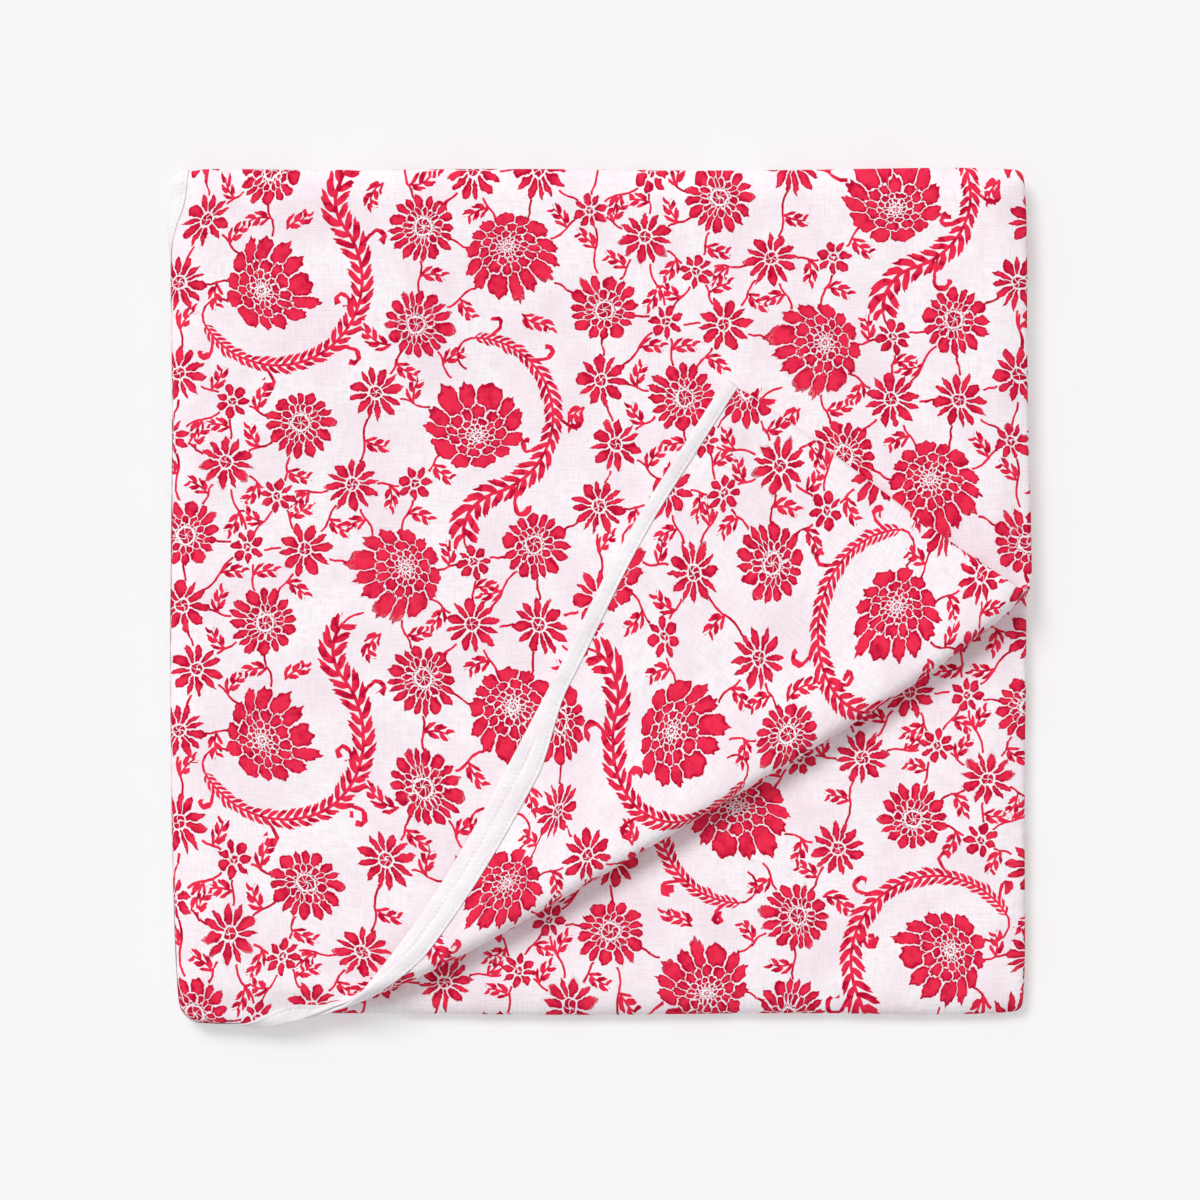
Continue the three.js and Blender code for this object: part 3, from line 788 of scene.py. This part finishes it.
def vine_gap(points, arc):
    """Distance from each point to the leaves of an arc, worked out where it can be small."""
    claim = max(arc.reach * max(arc.pitch, arc.end_pitch), VINE_CLAIM)
    middle = arc_point(arc, arc.start + arc.length / 2)[:2]
    near = np.flatnonzero(np.hypot(*(points - middle).T) < arc.length / 2 + claim + VINE_SEARCH)
    s, t = along_arc(points[near], arc)
    out = np.maximum(np.maximum(arc.start - s, s - arc.start - arc.length), 0)
    gap = np.full(len(points), FAR)
    gap[near] = np.hypot(out, t) - claim
    return gap


def nearest(middles, rows, gap_to):
    """For each point, the flower or arc that comes nearest to it, as a row of columns, and the
    shift of the repeat that it stands in."""
    best = np.full(len(middles), FAR)
    chosen = np.zeros(len(middles), int)
    moved = np.zeros((len(middles), 2))
    for number, row in enumerate(rows):
        for shift in copies():
            gap = gap_to(middles - shift, row)
            nearer = gap < best
            best[nearer], chosen[nearer] = gap[nearer], number
            moved[nearer] = shift
    return type(rows[0])(*np.array(rows, float)[chosen].T[..., None]), moved[:, None]


def flower_places(points, middles, flowers):
    """Places of each quad's corners in its nearest flower, in shares of the flower's radius."""
    flower, shift = nearest(middles, flowers, flower_gap)
    right, up = points[..., 0] - shift[..., 0] - flower.x, points[..., 1] - shift[..., 1] - flower.y
    cos, sin = np.cos(flower.turn), np.sin(flower.turn)
    x = (right * cos + up * sin) / flower.radius
    y = (up * cos - right * sin) / flower.radius
    return {
        "bloom": (x, y, flower.off),
        "form": (flower.count, flower.rings, flower.point),
        "bloom_size": (flower.radius, flower.middle, flower.seed),
    }


def stalk_places(points, middles, stems):
    """Places beside the nearest stem: t, its half width there and the way to its nearer end."""
    vine, shift = nearest(middles, stems, vine_gap)
    s, t = along_arc(points - shift, vine)
    half = vine.stem + (vine.end_stem - vine.stem) * np.clip(s / vine.whole, -0.05, 1.05)
    return {"stalk": (t, half, np.minimum(s, vine.whole - s))}


def leaf_places(points, middles, leafy):
    """Places beside the nearest leafy vine, s counted in leaves. Their spacing changes evenly along
    the vine, so their count is a logarithm, and they are smaller at both of its ends."""
    vine, shift = nearest(middles, leafy, vine_gap)
    s, t = along_arc(points - shift, vine)
    rest = vine.whole - s
    along = np.clip(s / vine.whole, -0.3, 1.6)
    pitch = vine.pitch + (vine.end_pitch - vine.pitch) * along
    step = np.log(pitch / vine.pitch) / ((vine.end_pitch - vine.pitch) / vine.whole)
    taper = np.clip(0.8 + s / 20, 0.4, 1) * np.clip(0.85 + rest / 30, 0.5, 1)
    stem = vine.stem + (vine.end_stem - vine.stem) * along
    return {"vine": (step, t, vine.reach * pitch * taper), "leaf": (pitch, stem, rest)}


def put_print(mesh, corners):
    """Writes each corner's place beside its cell's flower and vine. "corners" is an (n, 4, 2) array
    of flat points in millimetres, one row of four for each printed quad."""
    flowers = flower_rows()
    vines = vine_arcs(flowers)
    points = corners - PRINT_START
    middles = points.mean(1)
    home = in_repeat(middles)
    points, middles = points + home[:, None], middles + home
    places = {
        **flower_places(points, middles, flowers),
        **leaf_places(points, middles, [arc for arc in vines if arc.reach > 0]),
        **stalk_places(points, middles, [arc for arc in vines if arc.reach == 0]),
    }
    for name, values in places.items():
        values = [np.broadcast_to(value, corners.shape[:2]) for value in values]
        printed = np.stack(values, -1).reshape(-1, 3)
        full = np.tile(np.array(NO_PRINT[name], float), (len(mesh.loops), 1))
        full[: len(printed)] = printed
        put_vectors(mesh, name, full)


# ---- Shader helpers ----


class Signal:
    """What a node gives out. The signs + - * / ** % and abs() add the Math node that works the
    result out, so that a shader's formula is written like any other."""

    def __init__(self, w, socket):
        self.w, self.socket = w, socket

    def __add__(self, other):
        return self.w.math("ADD", self, other)

    def __sub__(self, other):
        return self.w.math("SUBTRACT", self, other)

    def __rsub__(self, other):
        return self.w.math("SUBTRACT", other, self)

    def __mul__(self, other):
        return self.w.math("MULTIPLY", self, other)

    def __truediv__(self, other):
        return self.w.math("DIVIDE", self, other)

    def __rtruediv__(self, other):
        return self.w.math("DIVIDE", other, self)

    def __pow__(self, other):
        return self.w.math("POWER", self, other)

    def __mod__(self, other):
        return self.w.math("FLOORED_MODULO", self, other)

    def __abs__(self):
        return self.w.math("ABSOLUTE", self)


class Wiring:
    """Adds nodes to a node tree, each wired to its inputs as it is made."""

    def __init__(self, tree):
        self.tree = tree

    def put(self, socket, value):
        """Wires a signal to a socket, or sets the socket to a plain value."""
        if isinstance(value, Signal):
            self.tree.links.new(value.socket, socket)
        else:
            socket.default_value = value

    def node(self, kind, inputs, **settings):
        """New node, its inputs by name or number."""
        made = self.tree.nodes.new(kind)
        for name, value in settings.items():
            setattr(made, name, value)
        for name, value in inputs.items():
            self.put(made.inputs[name], value)
        return made

    def outputs(self, node):
        """Signals of a node by name."""
        return {socket.name: Signal(self, socket) for socket in node.outputs}

    def math(self, operation, *values):
        made = self.node("ShaderNodeMath", dict(enumerate(values)), operation=operation)
        return Signal(self, made.outputs[0])

    def vector(self, operation, *values, **named):
        inputs = {**dict(enumerate(values)), **named}
        made = self.node("ShaderNodeVectorMath", inputs, operation=operation)
        return Signal(self, made.outputs["Vector"])

    def smooth(self, value, low, high, start=0.0, end=1.0):
        """From start to end, eased, as the value goes from low to high."""
        inputs = {"Value": value, "From Min": low, "From Max": high, "To Min": start, "To Max": end}
        made = self.node("ShaderNodeMapRange", inputs, interpolation_type="SMOOTHSTEP")
        return Signal(self, made.outputs["Result"])

    def choose(self, share, low, high):
        """Number between low and high."""
        made = self.node("ShaderNodeMix", {0: share, 2: low, 3: high})
        return Signal(self, made.outputs[0])

    def mix(self, share, low, high):
        """Colour between low and high, each a colour's output or three numbers."""
        low, high = (c if isinstance(c, Signal) else (*c, 1) for c in (low, high))
        made = self.node("ShaderNodeMix", {0: share, 6: low, 7: high}, data_type="RGBA")
        return Signal(self, made.outputs[2])

    def noise(self, place, scale, detail=1.0, rough=0.5, output="Fac"):
        inputs = {"Vector": place, "Scale": scale, "Detail": detail, "Roughness": rough}
        return Signal(self, self.node("ShaderNodeTexNoise", inputs).outputs[output])

    def chance(self, number):
        """Random number from 0 to 1 for each value of a number."""
        made = self.node("ShaderNodeTexWhiteNoise", {"W": number}, noise_dimensions="1D")
        return Signal(self, made.outputs["Value"])

    def parts(self, vector):
        return self.outputs(self.node("ShaderNodeSeparateXYZ", {"Vector": vector})).values()

    def attribute(self, name):
        made = self.node("ShaderNodeAttribute", {}, attribute_name=name)
        return Signal(self, made.outputs["Vector"])

    def cloth_map(self):
        """Place on the flat cloth, in metres."""
        return self.outputs(self.node("ShaderNodeUVMap", {}, uv_map="cloth"))["UV"]

    def group(self, tree, **inputs):
        return self.outputs(self.node("ShaderNodeGroup", inputs, node_tree=tree))


def new_group(name, vectors, numbers, results):
    """Shader node group that takes vectors and numbers, these with their defaults, and gives
    numbers: its wiring, what it is given, and its output node's sockets."""
    tree = bpy.data.node_groups.new(name, "ShaderNodeTree")

    def add(socket, way, kind):
        return tree.interface.new_socket(name=socket, in_out=way, socket_type=f"NodeSocket{kind}")

    for socket in vectors.split():
        add(socket, "INPUT", "Vector")
    for socket, default in numbers.items():
        add(socket, "INPUT", "Float").default_value = default
    for socket in results.split():
        add(socket, "OUTPUT", "Float")
    w = Wiring(tree)
    given = w.outputs(w.node("NodeGroupInput", {}))
    return w, given, w.node("NodeGroupOutput", {}).inputs


def bloom_group():
    """Flower of rings of petals. With r the distance from the flower's middle, rings follow the
    logarithm of r, so that petals grow outwards. Each ring is cut into petals by the angle, every
    second ring half a petal on. A petal's tip falls off with a power of the distance from its
    middle line, and ink stands where the distance to the nearest gap is over half the gap. The
    middle is a whirl of small wedges of ink round a pale dot, with a gap round it."""
    w, given, out = new_group("Bloom", "Place Form Size Wobble", {"Gap": 0.8}, "Ink Depth Cover")
    radius, middle, seed = w.parts(given["Size"])
    count, rings, point = w.parts(given["Form"])
    x, y, off = w.parts(given["Place"])
    wobble_x, wobble_y, _ = w.parts(w.vector("SCALE", given["Wobble"], Scale=1.0 / radius))
    x, y = x + wobble_x, y + wobble_y
    square = x * x + y * y
    # The middle lies off centre, less so towards the outline.
    y = y - off * w.math("MAXIMUM", 1.0 - square, 0.0)
    r = w.math("MAXIMUM", w.math("SQRT", x * x + y * y), 0.01)
    distance = r * radius
    level = w.math("LOGARITHM", r, math.e) * rings
    ring = w.math("FLOOR", level)
    share = level - ring
    # Angle in turns, a little uneven so that petals differ in width.
    turn = w.math("ARCTAN2", y, x) * (1 / FULL_TURN)
    uneven = w.math("SINE", turn * (2 * FULL_TURN) + seed)
    uneven = uneven + w.math("SINE", turn * (5 * FULL_TURN) + seed)
    turn = uneven * 0.011 + turn
    around = turn * count + (ring % 2.0) * 0.5
    cell = w.math("FLOOR", around)
    q = abs(around - cell - 0.5)
    chance = w.chance(ring * 31.7 + cell % count + seed * 3.3)
    # Petals differ by chance in how pointed and how short they are. Lobes grow with "off".
    spike = w.math("FRACT", chance * 5.0) * 0.9 + 0.2
    rounding = (q**3.0 * 6.0 + q * spike) * point
    lobes = w.math("COSINE", q * (3 * FULL_TURN)) * (off * 0.12)
    short = (w.math("FRACT", chance * 9.0) * 0.05 + (chance**4.0 * -0.12 + 0.15)) * rings
    tip = 1.0 - rounding - short + lobes
    # Past its tip the ring shows the petals of the next one behind it.
    own = w.math("LESS_THAN", share, tip)
    side = abs(q - own * 0.5) * (distance * FULL_TURN / count)
    end = abs(share - tip) * (distance / rings)
    exists = w.math("LESS_THAN", ring - own, -1.5)
    wedges = w.math("FLOOR", count * 0.45)
    wedge = w.math("FRACT", turn * wedges + (distance * 0.16 + seed))
    wedge = (0.5 - abs(wedge - 0.5)) * (distance * FULL_TURN) / wedges
    core_size = middle * radius
    core = w.math("MINIMUM", core_size * 0.86 - distance, distance - 0.2)
    core = w.math("MINIMUM", core, wedge + 0.2)
    in_core = w.math("LESS_THAN", distance, core_size)
    inside = w.choose(in_core, w.math("MINIMUM", side, end), core)
    half = given["Gap"] * 0.5
    w.put(out["Ink"], w.smooth(inside, half - BLOOM_EDGE, half + BLOOM_EDGE) * exists)
    w.put(out["Depth"], chance * 0.4 + w.smooth(inside, 0.4, 2.6))
    w.put(out["Cover"], w.math("LESS_THAN", square, 0.6))
    return w.tree


def vine_group():
    """Stem with leaves on both sides, and a bare stalk. Leaves stand a pitch apart along s and lean
    forward, more so further from the stem. A leaf's width is a straight rise with q, its share of
    the reach, times the square root of one less the fourth power of q."""
    w, given, out = new_group("Leafy vine", "Place Leaf Stalk Wobble", {}, "Ink")

    def stroke(inside, end):
        return w.smooth(inside, -VINE_EDGE, VINE_EDGE) * end

    step, t, reach = w.parts(given["Place"])
    pitch, stem, rest = w.parts(given["Leaf"])
    wobble_x, wobble_y, _ = w.parts(given["Wobble"])
    t = wobble_y * 0.22 + t
    out_by = abs(t)
    full = out_by / reach
    lean = wobble_x * -0.3 + out_by * (full * 0.35 + 0.75)
    rooted = step - lean / pitch
    on_stem = w.smooth(step, -0.05, 0.05) * w.smooth(rest, -0.3, 0.3)
    on_root = w.math("GREATER_THAN", rooted, 0.0) * w.math("GREATER_THAN", lean, rest * -1.0)
    # Leaves on the left stand further on than those on the right.
    left = w.math("GREATER_THAN", t, 0.0)
    step = left * 0.4 + rooted
    cell = w.math("FLOOR", step)
    c = abs(step - cell - 0.5)
    chance = w.chance(left * 61.3 + cell)
    notch = w.math("COSINE", c * 14.0) * 0.07 + 1.0
    q = w.math("MINIMUM", full * notch * (chance * 0.55 + 1.0), 1.0)
    shape = (q * 0.75 + 0.35) * w.math("SQRT", 1.0 - q**4.0)
    wide = w.math("MINIMUM", pitch * 0.40, reach * 0.5)
    blade = shape * wide - 0.15 - c * (pitch * 0.65)
    ink = w.math("MAXIMUM", stroke(stem - out_by, on_stem), stroke(blade, on_root))
    t, half, end = w.parts(given["Stalk"])
    bare = stroke(half - abs(wobble_y * 0.22 + t), w.smooth(end, -0.3, 0.3))
    w.put(out["Ink"], w.math("MAXIMUM", ink, bare))
    return w.tree


def weave_group():
    """Cotton weave: two noises stretched along the two directions of thread, and slow lumps."""
    numbers = {"Threads": 0.5, "Slubs": 0.5}
    w, given, out = new_group("Cotton weave", "Vector", numbers, "Height Tone")
    # The noise's scale across a thread and along it.
    fine, long = 1100.0, 90.0
    warp = w.noise(w.vector("MULTIPLY", given["Vector"], (fine, long, 1.0)), 1.0, 0.0)
    weft = w.noise(w.vector("MULTIPLY", given["Vector"], (long, fine, 1.0)), 1.0, 0.0)
    threads = warp + weft
    slow = w.noise(given["Vector"], 70.0)
    w.put(out["Height"], threads * given["Threads"] + slow * given["Slubs"])
    # Tone is the threads' pattern: the materials use it for painted shade between the threads, for
    # roughness and in the blotches.
    w.put(out["Tone"], threads * 0.5)
    return w.tree


def weave_tree():
    return bpy.data.node_groups.get("Cotton weave") or weave_group()


# ---- Materials ----


def new_material(name):
    """Material with one Principled shader: its wiring, the shader and the output's socket."""
    material = bpy.data.materials.new(name)
    material.use_nodes = True
    material.node_tree.nodes.clear()
    w = Wiring(material.node_tree)
    shader = w.node("ShaderNodeBsdfPrincipled", {})
    surface = w.node("ShaderNodeOutputMaterial", {}).inputs["Surface"]
    w.put(surface, Signal(w, shader.outputs[0]))
    return material, w, shader, surface


def shade_cotton(w, shader, place, slubs):
    """Weave bump and the matt, slightly fuzzy surface that both cottons share."""
    cloth = w.group(weave_tree(), Vector=place, Threads=0.35, Slubs=slubs)
    bump = {"Strength": 0.6, "Distance": 0.0004, "Height": cloth["Height"]}
    w.put(shader.inputs["Normal"], w.outputs(w.node("ShaderNodeBump", bump))["Normal"])
    w.put(shader.inputs["Roughness"], w.smooth(cloth["Tone"], 0.2, 0.8, 0.95, 0.8))
    shader.inputs["Specular IOR Level"].default_value = 0.04
    return cloth["Tone"]


def blotched(w, place, scale, tone, ground, shade):
    """Ground colour with slow, faint blotches of its shade."""
    stain = w.noise(place, scale, 2.0) + tone * 0.12
    return w.mix(w.smooth(stain, 0.42, 0.75), ground, shade)


def put_colour(w, shader, colour, tone):
    """Base colour with painted shade of the weave: a little paler on the raised threads and darker
    between them.
    """
    # Painted shade: the colour is scaled up on the raised threads and down between them.
    painted_thread_shade = w.smooth(tone, 0.36, 0.64, 0.955, 1.035)
    w.put(shader.inputs["Base Color"], w.vector("SCALE", colour, Scale=painted_thread_shade))


def printed_cotton(settings):
    """White cotton with the flowers and vines printed on it in one ink."""
    material, w, shader, _ = new_material("Printed cotton")
    place = w.cloth_map()
    tone = shade_cotton(w, shader, place, 0.8)
    ragged = w.noise(place, 210.0, 2.0, 0.6, output="Color")
    spread, centre = (2 * INK_STRAY, 2 * INK_STRAY, 0.0), (-INK_STRAY, -INK_STRAY, 0.0)
    wobble = w.vector("MULTIPLY_ADD", ragged, spread, centre)
    bloom = w.group(
        bloom_group(),
        Place=w.attribute("bloom"),
        Form=w.attribute("form"),
        Size=w.attribute("bloom_size"),
        Wobble=wobble,
        Gap=settings.petal_gap / MM,
    )
    vine = w.group(
        vine_group(),
        Place=w.attribute("vine"),
        Leaf=w.attribute("leaf"),
        Stalk=w.attribute("stalk"),
        Wobble=wobble,
    )
    ink = w.math("MAXIMUM", bloom["Ink"], vine["Ink"] * (1.0 - bloom["Cover"]))
    thick = w.smooth(bloom["Depth"] * 0.40 + w.noise(place, 160.0, 2.0), 0.50, 1.12)
    colour = w.mix(thick, settings.deep_ink, settings.light_ink)
    ground = blotched(w, place, 28.0, tone, settings.ground, settings.blush)
    mottle = w.smooth(w.noise(place, 260.0, 3.0, 0.6), 0.44, 0.70, 0.0, 0.75)
    ground = w.mix(mottle, ground, settings.blush)
    put_colour(w, shader, w.mix(ink, ground, colour), tone)
    return material


def plain_cotton(settings):
    """White cotton of the binding, with a row of stitches beside its inner edge."""
    material, w, shader, _ = new_material("Plain cotton")
    place = w.cloth_map()
    tone = shade_cotton(w, shader, place, 0.5)
    along, across, _ = w.parts(place)
    dash = w.smooth(abs(w.math("FRACT", along / settings.stitch) - 0.5), 0.26, 0.34)
    line = w.smooth(abs(across + (BIND_COVER - SEAM) * MM), 0.0003, 0.0006, 1.0, 0.0)
    ground = blotched(w, place, 40.0, tone, settings.colour, settings.shade)
    deep = [0.78 * value for value in settings.shade]
    put_colour(w, shader, w.mix(dash * line * 0.5, ground, deep), tone)
    return material


def pale_paper(settings):
    """Matt paper whose shadow looks weaker to the camera, and to anything that mirrors it."""
    material, w, shader, surface = new_material("Pale paper")
    place = w.outputs(w.node("ShaderNodeTexCoord", {}))["Object"]
    grain = w.smooth(w.noise(place, 60.0, 2.0), 0.3, 0.7, 0.995, 1.0)
    w.put(shader.inputs["Base Color"], w.vector("SCALE", tuple(settings.floor), Scale=grain))
    shader.inputs["Roughness"].default_value = 0.9
    shader.inputs["Specular IOR Level"].default_value = 0.1
    ray = w.outputs(w.node("ShaderNodeLightPath", {}))
    seen = w.math("MAXIMUM", ray["Is Camera Ray"], ray["Is Glossy Ray"])
    seen = w.math("MAXIMUM", seen, ray["Is Transmission Ray"])
    plain = w.node("ShaderNodeEmission", {"Strength": 1.0, "Color": (*settings.paper, 1)})
    lit, unlit = Signal(w, shader.outputs[0]), Signal(w, plain.outputs[0])
    both = w.node("ShaderNodeMixShader", {0: seen * settings.clear, 1: lit, 2: unlit})
    w.put(surface, Signal(w, both.outputs[0]))
    return material


# ---- Settings ----


def length_setting(name, description, default, **limits):
    return bpy.props.FloatProperty(
        name=name, description=description, default=default, unit="LENGTH", subtype="DISTANCE",
        **limits,
    )


def colour_setting(name, description, default):
    return bpy.props.FloatVectorProperty(
        name=name, description=description, default=default, subtype="COLOR", size=3, min=0, max=1
    )


class QuiltCloth(bpy.types.PropertyGroup):
    """Sizes of the cloth's mesh and of its unevenness."""

    cell: length_setting("Cell", "Spacing of the cloth's grid", 0.004, min=0.003)
    lumps: length_setting("Lumps", "How uneven the laid pad is", 0.001, min=0.0, max=0.002)


class QuiltPrint(bpy.types.PropertyGroup):
    """Colours of the printed cotton and the gaps between its petals."""

    ground: colour_setting("Ground", "Colour of the unprinted cotton", (0.965, 0.915, 0.945))
    blush: colour_setting("Blush", "Faint blotches on the ground", (0.93, 0.80, 0.865))
    deep_ink: colour_setting("Deep ink", "Ink where it lies thick", (0.50, 0.003, 0.035))
    light_ink: colour_setting("Light ink", "Ink where it lies thin", (0.88, 0.030, 0.084))
    petal_gap: length_setting("Petal gap", "Width of the lines between petals", 0.0008, min=0.0)


class QuiltBinding(bpy.types.PropertyGroup):
    """Colours and stitches of the binding."""

    colour: colour_setting("Colour", "Colour of the binding", (0.93, 0.90, 0.92))
    shade: colour_setting("Shade", "Its faint blotches", (0.88, 0.82, 0.86))
    stitch: length_setting("Stitch", "Length of a stitch with its gap", 0.0028, min=0.001)
    step: length_setting("Step", "Spacing of the binding's stations", 0.0032, min=0.002)


class QuiltStage(bpy.types.PropertyGroup):
    """Camera, floor and lights."""

    camera_height: length_setting("Camera height", "Height of the camera over the floor", 3.0, min=1.0)
    view_width: length_setting("View width", "Width of the view near the pad's top", 0.6977, min=0.1)
    floor: colour_setting("Floor", "Colour of the floor", (0.93, 0.925, 0.93))
    paper: colour_setting("Paper", "The floor as it looks without its shadow", (0.945, 0.945, 0.945))
    clear: bpy.props.FloatProperty(
        name="Clear", description="Share of the floor that the camera sees without its shadow",
        default=0.42, min=0, max=1, subtype="FACTOR",
    )
    sky: bpy.props.FloatProperty(
        name="Sky", description="Light from all round", default=0.515, min=0,
    )
    lamp: bpy.props.FloatProperty(
        name="Lamp", description="Light from the upper left", default=1.84, min=0,
    )


# ---- Operators ----


class QUILT_OT_stage(bpy.types.Operator):
    """Makes the camera, the floor, the lamp and the sky"""

    bl_idname = "quilt.stage"
    bl_label = "Make the stage"

    def execute(self, context):
        scene = context.scene
        settings = scene.quilt_stage
        scene.view_settings.view_transform = "Standard"
        level = cad_bounds[1].z * VIEW_LEVEL
        camera = bpy.data.cameras.new("camera")
        camera.lens = camera.sensor_width * (settings.camera_height - level) / settings.view_width
        camera.clip_end = 20
        view = bpy.data.objects.new("camera", camera)
        view.location = (0, VIEW_ALONG, settings.camera_height)
        scene.camera = view

        ends = ((-1, -1), (1, -1), (1, 1), (-1, 1))
        corners = [(x * FLOOR_REACH, y * FLOOR_REACH, -FLOOR_SINK) for x, y in ends]
        mesh = bpy.data.meshes.new("floor")
        mesh.from_pydata(corners, [], [(0, 1, 2, 3)])
        mesh.materials.append(pale_paper(settings))
        floor = bpy.data.objects.new("floor", mesh)

        lamp = bpy.data.lights.new("lamp", "SUN")
        lamp.energy = settings.lamp
        lamp.angle = math.radians(LAMP_SPREAD)
        sun = bpy.data.objects.new("lamp", lamp)
        sun.rotation_euler = [math.radians(turn) for turn in LAMP_TURN]
        for made in (view, floor, sun):
            scene.collection.objects.link(made)

        world = bpy.data.worlds.new("sky")
        world.use_nodes = True
        sky = world.node_tree.nodes["Background"]
        sky.inputs["Color"].default_value = (1, 1, 1, 1)
        sky.inputs["Strength"].default_value = settings.sky
        scene.world = world
        return {"FINISHED"}


class QUILT_OT_cloth(bpy.types.Operator):
    """Makes the folded, printed quilt"""

    bl_idname = "quilt.cloth"
    bl_label = "Make the quilt"

    def execute(self, context):
        scene = context.scene
        lumps = scene.quilt_cloth.lumps / MM
        a, b = np.meshgrid(*cloth_lines(scene.quilt_cloth.cell / MM), indexing="ij")
        half = half_thickness(a, b)
        front = fold(a, b, half + puckers(a, b) + creases(a, b), lumps)
        # The back has every second line of the front's grid.
        back_a, back_b, back_half = (values[::2, ::2] for values in (a, b, half))
        back = fold(back_a, back_b, -back_half, lumps)
        numbers = np.arange(a.size).reshape(a.shape)
        quads, rim = cloth_faces(numbers, a.size + np.arange(back_a.size).reshape(back_a.shape))
        points = np.concatenate([front.reshape(-1, 3), back.reshape(-1, 3)])
        piece = new_mesh("quilt_cloth", points + centre_shift(lumps), quads, rim)
        mesh = piece.data
        flat = np.concatenate([
            np.stack([a, b], -1).reshape(-1, 2), np.stack([back_a, back_b], -1).reshape(-1, 2)
        ])
        corners = np.concatenate([quads.ravel(), rim.ravel()])
        put_map(mesh, "OFBake", cloth_bake_places(flat, a.size)[corners])
        put_map(mesh, "cloth", flat[corners] * MM)
        put_print(mesh, flat[grid_faces(numbers).reshape(-1, 4)])
        mesh.materials.append(printed_cotton(scene.quilt_print))
        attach(piece, "root")
        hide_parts("quilt")
        return {"FINISHED"}


class QUILT_OT_binding(bpy.types.Operator):
    """Makes the binding that is folded over the quilt's raw edge and sewn down"""

    bl_idname = "quilt.binding"
    bl_label = "Make the binding"

    def execute(self, context):
        scene = context.scene
        settings = scene.quilt_binding
        lumps = scene.quilt_cloth.lumps / MM
        a, b, way = strip_stations(settings.step / MM)
        points = fold(a, b, np.broadcast_to(strip_profile()[:, 1], a.shape), lumps).reshape(-1, 3)
        # The last station joins the first, and the profile closes.
        numbers = np.pad(np.arange(a.size).reshape(a.shape), ((0, 1), (0, 1)), "wrap")
        quads = grid_faces(numbers).reshape(-1, 4)[:, ::-1]
        piece = new_mesh("quilt_binding", points + centre_shift(lumps), quads)
        places = strip_places(way)
        put_map(piece.data, "cloth", places[:, ::2] * MM)
        put_map(piece.data, "OFBake", strip_bake_places(places))
        piece.data.materials.append(plain_cotton(settings))
        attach(piece, "root")
        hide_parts("binding")
        return {"FINISHED"}


class QUILT_PT_panel(bpy.types.Panel):
    """Lists the quilt's settings and the buttons that make it"""

    bl_idname = "QUILT_PT_panel"
    bl_label = "Folded crib quilt"
    bl_space_type = "VIEW_3D"
    bl_region_type = "UI"
    bl_category = "Quilt"

    def draw(self, context):
        for name, group, operator in GROUPS:
            box = self.layout.box()
            for item in group.__annotations__:
                box.prop(getattr(context.scene, name), item)
            if operator:
                box.operator(operator.bl_idname)


GROUPS = (
    ("quilt_stage", QuiltStage, QUILT_OT_stage),
    ("quilt_print", QuiltPrint, None),
    ("quilt_cloth", QuiltCloth, QUILT_OT_cloth),
    ("quilt_binding", QuiltBinding, QUILT_OT_binding),
)


def register():
    for name, group, operator in GROUPS:
        bpy.utils.register_class(group)
        setattr(bpy.types.Scene, name, bpy.props.PointerProperty(type=group))
        if operator:
            bpy.utils.register_class(operator)
    bpy.utils.register_class(QUILT_PT_panel)


def unregister():
    bpy.utils.unregister_class(QUILT_PT_panel)
    for name, group, operator in reversed(GROUPS):
        if operator:
            bpy.utils.unregister_class(operator)
        delattr(bpy.types.Scene, name)
        bpy.utils.unregister_class(group)


def main():
    register()
    bpy.ops.quilt.stage()
    bpy.ops.quilt.cloth()
    bpy.ops.quilt.binding()


if __name__ == "__main__":
    main()
